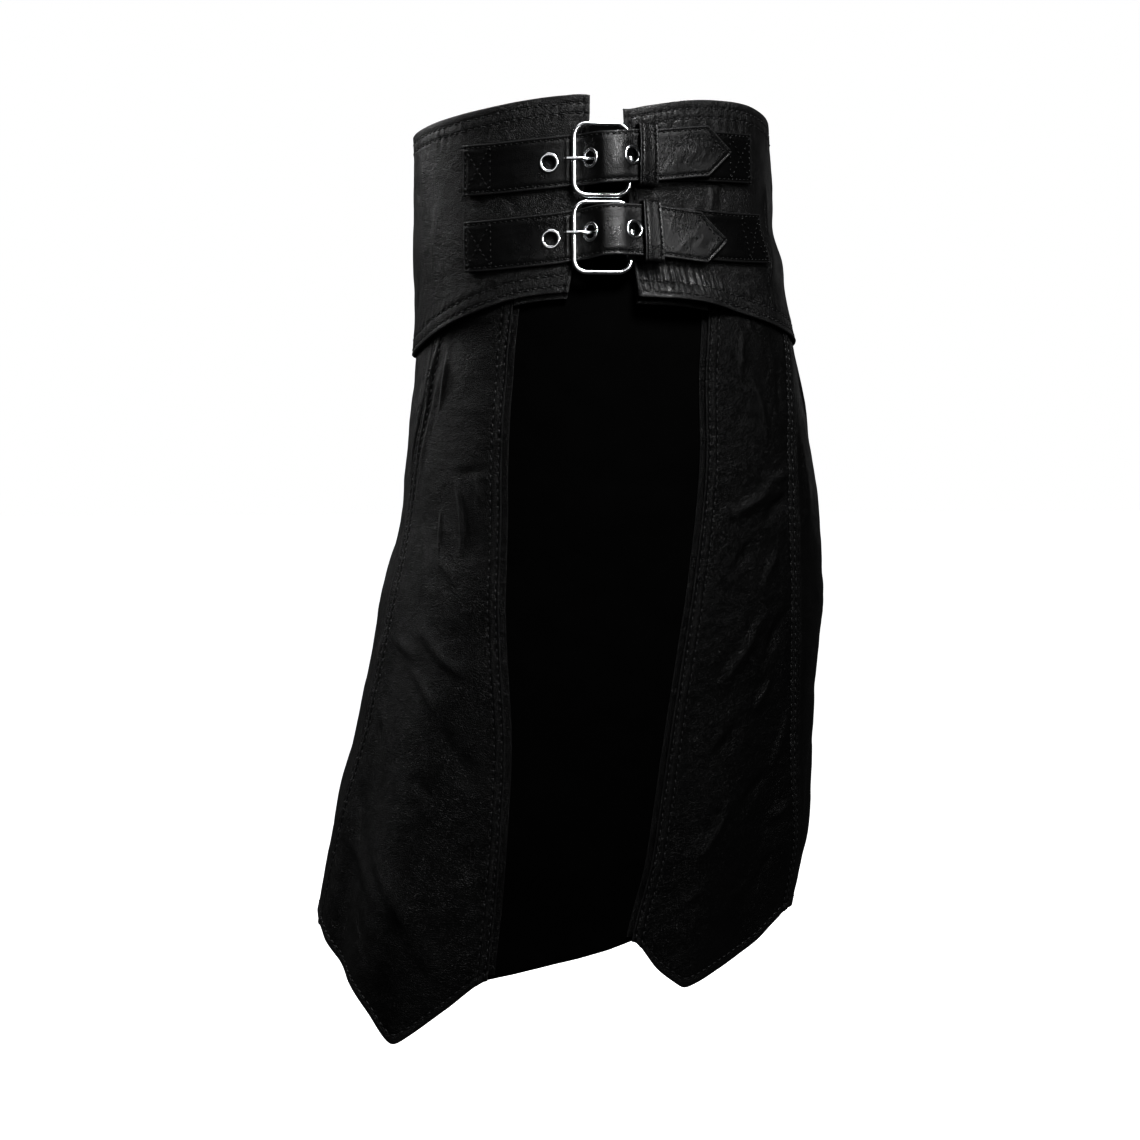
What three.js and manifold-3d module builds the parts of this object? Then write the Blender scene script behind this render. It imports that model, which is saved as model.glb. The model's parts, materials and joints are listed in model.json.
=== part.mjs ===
// A leather kilt, worn form: a wide curved yoke, six flared panels, a flat underlay behind the
// front opening, and two buckled straps. Millimetres, +Z up, the wearer's front towards -Y.
// The origin is the middle of the waist, where the wearer holds the kilt up.
import * as THREE from 'three';
import { mergeVertices } from 'three/addons/utils/BufferGeometryUtils.js';
import Module from 'manifold-3d';

const wasm = await Module();
wasm.setup();

// Leather thicknesses, and the layers as distances outside the kilt's form
const PANEL_THICKNESS = 1.6;
const YOKE_THICKNESS = 2.4;
const FACING_THICKNESS = 1.0;
const YOKE_FACING_THICKNESS = 1.2;
const UNDERLAY_THICKNESS = 1.2;
const STRAP_THICKNESS = 2.4;
const CHAPE_THICKNESS = 3.0;
const YOKE_INNER = 0.5;
const YOKE_OUTER = YOKE_INNER + YOKE_THICKNESS;
const YOKE_FACING_OUT = 0.1;
const EDGE_FACING_OUT = -2.2;
const UNDERLAY_OUT = -3.7;
const GAP = 0.3;

// How far pieces lap or peek
const PANEL_TUCK = 12;
const YOKE_FACING_TUCK = 14;
const YOKE_FACING_PEEK = 4;
const YOKE_FACING_INSET = 0.8;
const EDGE_FACING_PEEK = 4;
const EDGE_FACING_LAP = 13;
const EDGE_FACING_TUCK = 8;
const EDGE_FACING_HEM_RISE = 3;

// Hardware
const WIRE_RADIUS = 1.9;
const BUCKLE_HEIGHT = 48.5;
const BUCKLE_CORNER_RADIUS = 6;
const CORNER_STEPS = 5;
const WIRE_SIDES = 10;
const TOE_ANGLE = -10.4;
const HEEL_ANGLE = 5.8;
const TOE_LIFT = 5.6;
const HEEL_LIFT = 4.4;
const EYE_WALL = 1.5;
const EYE_HALF_LENGTH = 16;
const PRONG_RADIUS = 1.3;
const PRONG_SIDES = 8;
const PRONG_STEPS = 16;
const PRONG_RING_WALL = 1.8;
const PRONG_RING_LENGTH = 4;
const PRONG_SLOT_LENGTH = 5;
const EYELET_FLANGE_RADIUS = 7;
const EYELET_BARREL_RADIUS = 5.2;
const EYELET_BORE_RADIUS = 4.6;
const EYELET_FLANGE_HEIGHT = 0.9;
const EYELET_SEAT = 0.4;
const EYELET_ROUNDING = 0.3;
const EYELET_SIDES = 18;
const KEEPER_THICKNESS = 1.6;
const KEEPER_BACK_THICKNESS = 1.2;
const KEEPER_CORNER_RADIUS = 2.8;
const KEEPER_EYELET_CLEARANCE = 1.7;

// The form's sections: half widths to the viewer's left and right, half depths to the front on
// each side of the middle, and to the back
const FORM = [
  { height: 60, left: 129.5, right: 130, frontLeft: 101, frontRight: 101, back: 103 },
  { height: -25, left: 130.5, right: 134, frontLeft: 102, frontRight: 102, back: 106 },
  { height: -48, left: 130.5, right: 141.5, frontLeft: 103.5, frontRight: 103.5, back: 108 },
  { height: -75, left: 129.5, right: 145, frontLeft: 107, frontRight: 106, back: 110 },
  { height: -115, left: 131.5, right: 153.5, frontLeft: 110, frontRight: 108, back: 116 },
  { height: -200, left: 140, right: 170, frontLeft: 115, frontRight: 108, back: 126 },
  { height: -250, left: 146, right: 175.5, frontLeft: 118, frontRight: 107, back: 130 },
  { height: -300, left: 157.5, right: 178, frontLeft: 121, frontRight: 105, back: 134 },
  { height: -400, left: 178, right: 171.5, frontLeft: 127, frontRight: 100, back: 142 },
  { height: -480, left: 195.5, right: 169, frontLeft: 131, frontRight: 95, back: 148 },
  { height: -540, left: 207, right: 157, frontLeft: 134, frontRight: 91, back: 152 },
  { height: -610, left: 214, right: 148, frontLeft: 137, frontRight: 89, back: 155 },
];
const FRONT_BLEND_ANGLE = 45;

// The largest folds: where each starts and ends round the form, how far it stands out at the
// hem, and how wide it is there
const FOLDS = [
  { topAngle: -42, hemAngle: -47, topHeight: -230, depth: 16, width: 12 },
  { topAngle: -66, hemAngle: -68, topHeight: -200, depth: -5, width: 7 },
  { topAngle: 30, hemAngle: 24, topHeight: -330, depth: 6, width: 9 },
  { topAngle: 50, hemAngle: 46, topHeight: -260, depth: -5, width: 9 },
  { topAngle: 104, hemAngle: 106, topHeight: -180, depth: 9, width: 12 },
  { topAngle: 132, hemAngle: 130, topHeight: -240, depth: -7, width: 9 },
  { topAngle: 154, hemAngle: 153, topHeight: -160, depth: 10, width: 12 },
  { topAngle: -176, hemAngle: -178, topHeight: -300, depth: -6, width: 10 },
  { topAngle: -152, hemAngle: -154, topHeight: -190, depth: 9, width: 12 },
  { topAngle: -128, hemAngle: -129, topHeight: -270, depth: -6, width: 9 },
  { topAngle: -104, hemAngle: -106, topHeight: -220, depth: 8, width: 11 },
];
const FOLD_FULL_HEIGHT = -560;

// The yoke's edges, by angle round the waist, and its two front ends, by height
const YOKE_TOP = [
  { angle: -180, height: 52 },
  { angle: -90, height: 42.5 },
  { angle: -70.5, height: 43.9 },
  { angle: -43.5, height: 49.2 },
  { angle: -26, height: 53.7 },
  { angle: -14, height: 56.2 },
  { angle: -5.6, height: 56.4 },
  { angle: 3.9, height: 47.7 },
  { angle: 11.7, height: 50.4 },
  { angle: 24.4, height: 55.6 },
  { angle: 37.7, height: 58.3 },
  { angle: 53, height: 58.8 },
  { angle: 70, height: 55 },
  { angle: 90, height: 47 },
  { angle: 180, height: 52 },
];
const YOKE_BOTTOM = [
  { angle: -180, height: -121 },
  { angle: -90, height: -119 },
  { angle: -77, height: -114.8 },
  { angle: -54.5, height: -98.8 },
  { angle: -41.8, height: -90.4 },
  { angle: -29.4, height: -83.4 },
  { angle: -13.2, height: -79.5 },
  { angle: 8, height: -82.6 },
  { angle: 20.7, height: -83.8 },
  { angle: 30.5, height: -86.6 },
  { angle: 42.8, height: -92.2 },
  { angle: 67, height: -102.2 },
  { angle: 85, height: -109 },
  { angle: 110, height: -115 },
  { angle: 180, height: -121 },
];
const YOKE_ENDS = [
  { height: 60, left: -5.6, right: 3.9 },
  { height: 19, left: -6.2, right: 4.9 },
  { height: -29, left: -8.5, right: 6.2 },
  { height: -84, left: -12.7, right: 7.1 },
];

// The panels' seams and free edges, as angles by height
const SEAMS = [
  { height: -75, leftInner: -30, leftOuter: -62, rightInner: 30.5, rightOuter: 73 },
  { height: -130, leftInner: -32, leftOuter: -67, rightInner: 26.5, rightOuter: 66 },
  { height: -210, leftInner: -31.9, leftOuter: -75, rightInner: 24, rightOuter: 57.3 },
  { height: -295, leftInner: -29.3, leftOuter: -75.5, rightInner: 19.6, rightOuter: 56 },
  { height: -385, leftInner: -24.8, leftOuter: -77.5, rightInner: 15.3, rightOuter: 60 },
  { height: -435, leftInner: -23.8, leftOuter: -81, rightInner: 13, rightOuter: 61.6 },
  { height: -490, leftInner: -23.5, leftOuter: -85, rightInner: 10.2, rightOuter: 66 },
  { height: -540, leftInner: -24, leftOuter: -88, rightInner: 6.1, rightOuter: 69.5 },
  { height: -610, leftInner: -25.5, leftOuter: -89, rightInner: 5, rightOuter: 71 },
];
const BACK_SEAMS = [
  { height: -75, left: -121, right: 126 },
  { height: -540, left: -124, right: 128 },
];
const LEFT_TIP_ANGLE = -43.3;
const RIGHT_TIP_ANGLE = 21.8;
const HEM = [
  { angle: -180, height: -545 },
  { angle: -100, height: -546 },
  { angle: -85.5, height: -547.5 },
  { angle: -77, height: -554 },
  { angle: -69.7, height: -563 },
  { angle: -55.4, height: -578 },
  { angle: -49.8, height: -588 },
  { angle: -44.8, height: -604 },
  { angle: LEFT_TIP_ANGLE, height: -606.5 },
  { angle: -41.2, height: -603 },
  { angle: -32.8, height: -581.2 },
  { angle: -24.6, height: -561 },
  { angle: 6, height: -538.8 },
  { angle: 13.8, height: -561.9 },
  { angle: 20.2, height: -575.8 },
  { angle: RIGHT_TIP_ANGLE, height: -577.6 },
  { angle: 24, height: -576.8 },
  { angle: 33.4, height: -570.6 },
  { angle: 47.4, height: -562 },
  { angle: 60, height: -545.5 },
  { angle: 68.6, height: -539.5 },
  { angle: 80, height: -541 },
  { angle: 180, height: -545 },
];
const UNDERLAY_EDGES = [
  { height: 40, left: -15, right: 14 },
  { height: -30, left: -24, right: 24 },
  { height: -85, left: -36, right: 37 },
  { height: -210, left: -38, right: 31 },
  { height: -400, left: -31, right: 21 },
  { height: -550, left: -31, right: 13 },
];
const UNDERLAY_TOP = 38;
const UNDERLAY_HEM = [
  { angle: -40, height: -573 },
  { angle: -24.8, height: -561.5 },
  { angle: 6.5, height: -539.5 },
  { angle: 14, height: -534 },
];
const UNDERLAY_RISE_START = -55;
const UNDERLAY_RISE_END = -20;

// The straps' paths over the yoke: height of the middle line, by angle
const STRAPS = {
  upper: {
    path: [
      { angle: -47.7, height: 7.6 },
      { angle: -35.7, height: 7.6 },
      { angle: -18, height: 10 },
      { angle: -10.4, height: 11.6 },
      { angle: 0, height: 12.7 },
      { angle: 8, height: 14.6 },
      { angle: 14, height: 15.6 },
      { angle: 30, height: 20.6 },
      { angle: 40.2, height: 22 },
    ],
    chapePath: [
      { angle: 5.8, height: 11.8 },
      { angle: 8, height: 13.2 },
      { angle: 14, height: 15.6 },
      { angle: 39, height: 18.4 },
      { angle: 52, height: 20 },
    ],
    startAngle: -47.7,
    cornerAngle: 31,
    tipAngle: 40.2,
    chapeEndAngle: 52,
    buckleMiddle: 11.8,
    keeper: { startAngle: 7.9, endAngle: 13.8, middle: 15.4, halfHeight: 21.5 },
    eyeletAngles: [-17.9, -5.7, 6.0],
    prongHeight: 11.9,
  },
  lower: {
    path: [
      { angle: -47.2, height: -45.7 },
      { angle: -35.8, height: -45.2 },
      { angle: -17.4, height: -42.2 },
      { angle: -10.4, height: -39.9 },
      { angle: -5.2, height: -38 },
      { angle: 0.3, height: -36.4 },
      { angle: 9, height: -36.4 },
      { angle: 14.5, height: -36.8 },
      { angle: 27.5, height: -39.3 },
      { angle: 36, height: -40.2 },
    ],
    chapePath: [
      { angle: 5.8, height: -41.3 },
      { angle: 8, height: -39.6 },
      { angle: 14, height: -37 },
      { angle: 39, height: -37.6 },
      { angle: 56.4, height: -35.8 },
    ],
    startAngle: -47.2,
    cornerAngle: 28,
    tipAngle: 36,
    chapeEndAngle: 56.4,
    buckleMiddle: -41.3,
    keeper: { startAngle: 8.9, endAngle: 14.6, middle: -36.8, halfHeight: 21 },
    eyeletAngles: [-17.4, -5.6, 6.4],
    prongHeight: -38.4,
  },
};
const STRAP_HALF_WIDTH = 18;
const STRAP_TIP_HALF_WIDTH = 1.2;
const CHAPE_EYE_HALF_WIDTH = 15.8;
const CHAPE_FULL_WIDTH_ANGLE = 22;

// How far the inner face of the strap and of the buckle's own strap stands off the yoke
const STRAP_LIFT = [
  { angle: -48, lift: 0.3 },
  { angle: -20, lift: 0.3 },
  { angle: -13.5, lift: 0.4 },
  { angle: -10.4, lift: 0.6 },
  { angle: -8.5, lift: 1.0 },
  { angle: -7.6, lift: 2.2 },
  { angle: -5.7, lift: 6.2 },
  { angle: -4.0, lift: 9.4 },
  { angle: -2.4, lift: 11.2 },
  { angle: 0.2, lift: 11.9 },
  { angle: 3, lift: 11.1 },
  { angle: 5.8, lift: 9.3 },
  { angle: 8, lift: 8.2 },
  { angle: 11, lift: 6.5 },
  { angle: 14.5, lift: 5.5 },
  { angle: 18, lift: 5.0 },
  { angle: 24, lift: 4.2 },
  { angle: 41, lift: 4.1 },
];
const CHAPE_LIFT = [
  { angle: 5.8, lift: 2.9 },
  { angle: 8, lift: 2.2 },
  { angle: 10, lift: 1.8 },
  { angle: 15.5, lift: 1.8 },
  { angle: 22, lift: 0.75 },
  { angle: 57, lift: 0.75 },
];
const PRONG_PATH = [
  { angle: 4.6, lift: 4.5 },
  { angle: 2.5, lift: 4.3 },
  { angle: 0, lift: 4.2 },
  { angle: -2.4, lift: 4.7 },
  { angle: -4.2, lift: 5.9 },
  { angle: -5.7, lift: 7.4 },
  { angle: -7.5, lift: 8.8 },
  { angle: -9.2, lift: 9.3 },
  { angle: -10.8, lift: 9.2 },
  { angle: -13.2, lift: 8.7 },
];

// How finely the pieces are divided
const PANEL_COLUMNS = 10;
const PANEL_ROW_STOPS = [0, 0.027, 0.07, 0.14, 0.22, 0.32, 0.43, 0.54, 0.65, 0.76, 0.88, 1];
const YOKE_COLUMNS = 56;
const YOKE_ROWS = 9;
const FACING_COLUMNS = 2;
const UNDERLAY_COLUMNS = 8;
const STRAP_COLUMNS = 36;
const CHAPE_COLUMNS = 15;
const STRAP_ROWS = 2;
const KEEPER_COLUMNS = 3;
const KEEPER_FACE_STOPS = [0.25, 0.5, 0.75];
const KEEPER_CORNER_TURNS = [0, 45, 90];
const SEAM_SETTLE_ROUNDS = 8;

const DEGREE = Math.PI / 180;
const PROBE = 0.002;
const CUTTER_REACH = 4;

const LEATHER = { color: 0x17171a, roughness: 0.48, metalness: 0 };
const UNDERLAY_CLOTH = { color: 0x050506, roughness: 0.9, metalness: 0 };
const CHROME = { color: 0xd8dadc, roughness: 0.12, metalness: 1 };

const kilt = new THREE.Group();

function addPiece(name, geometry, finish) {
  const piece = new THREE.Mesh(geometry, new THREE.MeshStandardMaterial(finish));
  piece.name = name;
  kilt.add(piece);
}

function mix(start, end, share) {
  return start + (end - start) * share;
}

// A smooth rise from 0 at the start to 1 at the end, whichever of them is larger
function smoothStep(start, end, value) {
  const share = THREE.MathUtils.clamp((value - start) / (end - start), 0, 1);
  return share * share * (3 - 2 * share);
}

// A smooth curve through one column of a table, read at a place in another column
function read(table, placeColumn, place, valueColumn) {
  const falling = table[0][placeColumn] > table[table.length - 1][placeColumn];
  const rows = falling ? [...table].reverse() : table;
  const last = rows.length - 1;
  const at = THREE.MathUtils.clamp(place, rows[0][placeColumn], rows[last][placeColumn]);
  let row = 0;
  while (row < last - 1 && at > rows[row + 1][placeColumn]) row += 1;
  const slope = (from, to) => (rows[to][valueColumn] - rows[from][valueColumn])
    / (rows[to][placeColumn] - rows[from][placeColumn]);
  const span = rows[row + 1][placeColumn] - rows[row][placeColumn];
  const share = (at - rows[row][placeColumn]) / span;
  const startSlope = slope(Math.max(row - 1, 0), row + 1);
  const endSlope = slope(row, Math.min(row + 2, last));
  return (2 * share ** 3 - 3 * share ** 2 + 1) * rows[row][valueColumn]
    + (share ** 3 - 2 * share ** 2 + share) * span * startSlope
    + (3 * share ** 2 - 2 * share ** 3) * rows[row + 1][valueColumn]
    + (share ** 3 - share ** 2) * span * endSlope;
}

// Angles are counted from the front, towards the viewer's right, from -180 to 180 degrees
function wrapped(angle) {
  return THREE.MathUtils.euclideanModulo(angle + 180, 360) - 180;
}

function foldDepth(angle, height) {
  let total = 0;
  for (const fold of FOLDS) {
    const growth = smoothStep(fold.topHeight, FOLD_FULL_HEIGHT, height);
    const middle = mix(fold.topAngle, fold.hemAngle, growth);
    const offset = wrapped(angle - middle) / fold.width;
    total += fold.depth * growth * Math.exp(-offset * offset);
  }
  return total;
}

// A point of the kilt's form, moved out of it along the level normal
function formPoint(angle, height, out) {
  const turn = wrapped(angle);
  const side = turn < 0 ? 'left' : 'right';
  const width = read(FORM, 'height', height, side);
  const front = mix(
    read(FORM, 'height', height, 'frontLeft'),
    read(FORM, 'height', height, 'frontRight'),
    smoothStep(-FRONT_BLEND_ANGLE, FRONT_BLEND_ANGLE, turn),
  );
  const depth = Math.abs(turn) < 90 ? front : read(FORM, 'height', height, 'back');
  const sine = Math.sin(turn * DEGREE);
  const cosine = Math.cos(turn * DEGREE);
  const normal = new THREE.Vector3(sine / width, -cosine / depth, 0).normalize();
  const point = new THREE.Vector3(width * sine, -depth * cosine, height);
  return point.addScaledVector(normal, out + foldDepth(turn, height));
}

// The angle that spans a distance along the form
function angleOf(distance, angle, height) {
  return distance / formPoint(angle, height, 0).distanceTo(formPoint(angle + 1, height, 0));
}

// A closed solid from matching outer and inner grids of points
function gridGeometry(outer, inner) {
  const columns = outer.length;
  const rows = outer[0].length;
  const count = columns * rows;
  const positions = [...outer.flat(), ...inner.flat()].flatMap((point) => point.toArray());
  const outerIndex = (column, row) => column * rows + row;
  const innerIndex = (column, row) => count + outerIndex(column, row);
  const faces = [];
  const quad = (a, b, c, d) => faces.push(a, b, c, a, c, d);
  for (let column = 0; column < columns - 1; column += 1) {
    for (let row = 0; row < rows - 1; row += 1) {
      quad(outerIndex(column, row), outerIndex(column + 1, row),
        outerIndex(column + 1, row + 1), outerIndex(column, row + 1));
      quad(innerIndex(column, row), innerIndex(column, row + 1),
        innerIndex(column + 1, row + 1), innerIndex(column + 1, row));
    }
  }
  for (let column = 0; column < columns - 1; column += 1) {
    const end = rows - 1;
    const next = column + 1;
    quad(outerIndex(column, 0), innerIndex(column, 0), innerIndex(next, 0), outerIndex(next, 0));
    quad(outerIndex(column, end), outerIndex(next, end), innerIndex(next, end), innerIndex(column, end));
  }
  for (let row = 0; row < rows - 1; row += 1) {
    const end = columns - 1;
    quad(outerIndex(0, row), outerIndex(0, row + 1), innerIndex(0, row + 1), innerIndex(0, row));
    quad(outerIndex(end, row), innerIndex(end, row), innerIndex(end, row + 1), outerIndex(end, row + 1));
  }
  return facingOut(positions, faces);
}

// A closed band from matching outer and inner loops, one pair for each column
function bandGeometry(outerLoops, innerLoops) {
  const columns = outerLoops.length;
  const around = outerLoops[0].length;
  const count = columns * around;
  const positions = [...outerLoops.flat(), ...innerLoops.flat()].flatMap((point) => point.toArray());
  const outerIndex = (column, step) => column * around + (step % around);
  const innerIndex = (column, step) => count + outerIndex(column, step);
  const faces = [];
  const quad = (a, b, c, d) => faces.push(a, b, c, a, c, d);
  for (let step = 0; step < around; step += 1) {
    for (let column = 0; column < columns - 1; column += 1) {
      quad(outerIndex(column, step), outerIndex(column + 1, step),
        outerIndex(column + 1, step + 1), outerIndex(column, step + 1));
      quad(innerIndex(column, step), innerIndex(column, step + 1),
        innerIndex(column + 1, step + 1), innerIndex(column + 1, step));
    }
    const end = columns - 1;
    const next = step + 1;
    quad(outerIndex(0, step), outerIndex(0, next), innerIndex(0, next), innerIndex(0, step));
    quad(outerIndex(end, step), innerIndex(end, step), innerIndex(end, next), outerIndex(end, next));
  }
  return facingOut(positions, faces);
}

// A geometry whose faces point out, whichever way the grid ran
function facingOut(positions, faces) {
  const corner = (index) => new THREE.Vector3().fromArray(positions, index * 3);
  let volume = 0;
  for (let face = 0; face < faces.length; face += 3) {
    const [a, b, c] = [corner(faces[face]), corner(faces[face + 1]), corner(faces[face + 2])];
    volume += a.dot(b.cross(c));
  }
  if (volume < 0) faces.reverse();
  const geometry = new THREE.BufferGeometry();
  geometry.setAttribute('position', new THREE.Float32BufferAttribute(positions, 3));
  geometry.setIndex(faces);
  return geometry;
}

// A wall of even thickness behind a surface: surface(across, down) gives its outer point
function wallGeometry(surface, columnStops, rowStops, thickness) {
  const outer = [];
  const inner = [];
  for (const across of columnStops) {
    const outerColumn = [];
    const innerColumn = [];
    for (const down of rowStops) {
      const point = surface(across, down);
      const acrossStep = surface(across + PROBE, down).sub(surface(across - PROBE, down));
      const downStep = surface(across, down - PROBE).sub(surface(across, down + PROBE));
      const normal = acrossStep.cross(downStep).normalize();
      outerColumn.push(point);
      innerColumn.push(point.clone().addScaledVector(normal, -thickness));
    }
    outer.push(outerColumn);
    inner.push(innerColumn);
  }
  return gridGeometry(outer, inner);
}

function evenStops(count) {
  return Array.from({ length: count + 1 }, (_, index) => index / count);
}

// The stops, with the one nearest to a wanted place moved there
function stopsWith(stops, wanted) {
  const reach = 0.5 / (stops.length - 1);
  return stops.map((stop) => (Math.abs(stop - wanted) < reach ? wanted : stop));
}

// A point of a cloth piece between two edges, a top and a hem, each following the others
function pieceSurface({ startEdge, endEdge, top, hem, out }) {
  return (across, down) => {
    let height = top(0);
    let angle = mix(startEdge(height), endEdge(height), across);
    for (let round = 0; round < SEAM_SETTLE_ROUNDS; round += 1) {
      height = mix(top(angle), hem(angle), down);
      angle = mix(startEdge(height), endEdge(height), across);
    }
    return formPoint(angle, height, out(height));
  };
}

const seam = (name) => (height) => read(SEAMS, 'height', height, name);
const backSeam = (name) => (height) => read(BACK_SEAMS, 'height', height, name);
const shifted = (edge, distance) => (height) => {
  const angle = edge(height);
  return angle + angleOf(distance, angle, height);
};
const yokeTop = (angle) => read(YOKE_TOP, 'angle', wrapped(angle), 'height');
const yokeBottom = (angle) => read(YOKE_BOTTOM, 'angle', wrapped(angle), 'height');
const hemHeight = (angle) => read(HEM, 'angle', wrapped(angle), 'height');
const panelTop = (angle) => yokeBottom(angle) + PANEL_TUCK;

function addPanels() {
  const panels = [
    { name: 'panel_side_left', start: backSeam('left'), end: seam('leftOuter') },
    { name: 'panel_back_left', start: () => -180, end: backSeam('left') },
    { name: 'panel_back_right', start: backSeam('right'), end: () => 180 },
    { name: 'panel_side_right', start: seam('rightOuter'), end: backSeam('right') },
    {
      name: 'panel_front_left',
      start: seam('leftOuter'),
      end: seam('leftInner'),
      freeEnd: true,
      tipAngle: LEFT_TIP_ANGLE,
    },
    {
      name: 'panel_front_right',
      start: seam('rightInner'),
      end: seam('rightOuter'),
      freeStart: true,
      tipAngle: RIGHT_TIP_ANGLE,
    },
  ];
  for (const { name, start, end, freeStart, freeEnd, tipAngle } of panels) {
    const surface = pieceSurface({
      startEdge: freeStart ? start : shifted(start, GAP / 2),
      endEdge: freeEnd ? end : shifted(end, -GAP / 2),
      top: panelTop,
      hem: hemHeight,
      out: () => 0,
    });
    let columns = evenStops(PANEL_COLUMNS);
    if (tipAngle !== undefined) {
      const tipHeight = hemHeight(tipAngle);
      const tipShare = (tipAngle - start(tipHeight)) / (end(tipHeight) - start(tipHeight));
      columns = stopsWith(columns, tipShare);
    }
    addPiece(name, wallGeometry(surface, columns, PANEL_ROW_STOPS, PANEL_THICKNESS), LEATHER);
  }
}

function addYoke() {
  const end = (name) => (height) => read(YOKE_ENDS, 'height', height, name);
  const surface = pieceSurface({
    startEdge: end('right'),
    endEdge: (height) => 360 + end('left')(height),
    top: yokeTop,
    hem: yokeBottom,
    out: () => YOKE_OUTER,
  });
  const wall = wallGeometry(surface, evenStops(YOKE_COLUMNS), evenStops(YOKE_ROWS), YOKE_THICKNESS);
  addPiece('yoke', wall, LEATHER);

  const facings = [
    {
      name: 'yoke_facing_left',
      start: shifted(seam('leftInner'), GAP),
      end: shifted(end('left'), -YOKE_FACING_INSET),
    },
    {
      name: 'yoke_facing_right',
      start: shifted(end('right'), YOKE_FACING_INSET),
      end: shifted(seam('rightInner'), -GAP),
    },
  ];
  for (const { name, start, end: finish } of facings) {
    const facing = pieceSurface({
      startEdge: start,
      endEdge: finish,
      top: (angle) => yokeBottom(angle) + YOKE_FACING_TUCK,
      hem: (angle) => yokeBottom(angle) - YOKE_FACING_PEEK,
      out: () => YOKE_FACING_OUT,
    });
    const stops = evenStops(FACING_COLUMNS * 2);
    addPiece(name, wallGeometry(facing, stops, evenStops(FACING_COLUMNS), YOKE_FACING_THICKNESS), LEATHER);
  }
}

// The turned edges that peek past the front panels' inner edges
function addEdgeFacings() {
  const facings = [
    { name: 'edge_facing_left', edge: seam('leftInner'), start: -EDGE_FACING_LAP, end: EDGE_FACING_PEEK },
    { name: 'edge_facing_right', edge: seam('rightInner'), start: -EDGE_FACING_PEEK, end: EDGE_FACING_LAP },
  ];
  for (const { name, edge, start, end } of facings) {
    const hemAngle = edge(HEM[0].height);
    const surface = pieceSurface({
      startEdge: shifted(edge, start),
      endEdge: shifted(edge, end),
      top: (angle) => yokeBottom(angle) + EDGE_FACING_TUCK,
      hem: () => hemHeight(hemAngle) + EDGE_FACING_HEM_RISE,
      out: () => EDGE_FACING_OUT,
    });
    const wall = wallGeometry(surface, evenStops(FACING_COLUMNS), PANEL_ROW_STOPS, FACING_THICKNESS);
    addPiece(name, wall, LEATHER);
  }
}

function addUnderlay() {
  const rise = (height) => smoothStep(UNDERLAY_RISE_START, UNDERLAY_RISE_END, height);
  const surface = pieceSurface({
    startEdge: (height) => read(UNDERLAY_EDGES, 'height', height, 'left'),
    endEdge: (height) => read(UNDERLAY_EDGES, 'height', height, 'right'),
    top: () => UNDERLAY_TOP,
    hem: (angle) => read(UNDERLAY_HEM, 'angle', angle, 'height'),
    out: (height) => mix(UNDERLAY_OUT, YOKE_FACING_OUT, rise(height)),
  });
  const wall = wallGeometry(surface, evenStops(UNDERLAY_COLUMNS), PANEL_ROW_STOPS, UNDERLAY_THICKNESS);
  addPiece('underlay', wall, UNDERLAY_CLOTH);
}

function yokePoint(angle, height, lift) {
  return formPoint(angle, height, YOKE_OUTER + lift);
}

// A strap's outer face, from its path, its lift off the yoke and its half width
function strapSurface({ path, lifts, startAngle, endAngle, thickness, halfWidth }) {
  return (across, down) => {
    const angle = mix(startAngle, endAngle, across);
    const middle = read(path, 'angle', angle, 'height');
    const height = middle + mix(1, -1, down) * halfWidth(angle);
    return yokePoint(angle, height, read(lifts, 'angle', angle, 'lift') + thickness);
  };
}

// The place on a strap's outer face, with the axes that a fitting there stands on
function strapPlace(surface, across) {
  const origin = surface(across, 0.5);
  const along = surface(across + PROBE, 0.5).sub(surface(across - PROBE, 0.5)).normalize();
  const rise = surface(across, 0.5 - PROBE).sub(surface(across, 0.5 + PROBE)).normalize();
  const out = new THREE.Vector3().crossVectors(along, rise).normalize();
  const up = new THREE.Vector3().crossVectors(out, along);
  return new THREE.Matrix4().makeBasis(along, up, out).setPosition(origin);
}

function toSolid(geometry) {
  const bare = geometry.clone();
  bare.deleteAttribute('normal');
  bare.deleteAttribute('uv');
  const merged = mergeVertices(bare);
  return new wasm.Manifold(new wasm.Mesh({
    numProp: 3,
    vertProperties: new Float32Array(merged.attributes.position.array),
    triVerts: new Uint32Array(merged.index.array),
  }));
}

function toGeometry(solid) {
  const mesh = solid.getMesh();
  const geometry = new THREE.BufferGeometry();
  geometry.setAttribute('position', new THREE.Float32BufferAttribute(mesh.vertProperties, 3));
  geometry.setIndex([...mesh.triVerts]);
  return geometry;
}

// A cylinder along the local up axis of a place
function uprightCylinder(radius, length, sides, place) {
  return new THREE.CylinderGeometry(radius, radius, length, sides).applyMatrix4(place);
}

function eyeletGeometry() {
  const seat = EYELET_SEAT;
  const top = seat + EYELET_FLANGE_HEIGHT;
  const barrelOuter = EYELET_BARREL_RADIUS - GAP;
  const profile = [
    [EYELET_BORE_RADIUS, -STRAP_THICKNESS + GAP],
    [barrelOuter, -STRAP_THICKNESS + GAP],
    [barrelOuter, seat],
    [EYELET_FLANGE_RADIUS, seat],
    [EYELET_FLANGE_RADIUS - EYELET_ROUNDING, seat + EYELET_FLANGE_HEIGHT / 2],
    [mix(EYELET_BORE_RADIUS, EYELET_FLANGE_RADIUS, 0.5), top],
    [EYELET_BORE_RADIUS, seat + EYELET_FLANGE_HEIGHT / 2],
    [EYELET_BORE_RADIUS, -STRAP_THICKNESS + GAP],
  ].map(([radius, height]) => new THREE.Vector2(radius, height));
  const ring = new THREE.LatheGeometry(profile, EYELET_SIDES);
  return toGeometry(toSolid(ring.rotateX(Math.PI / 2)));
}

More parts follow.
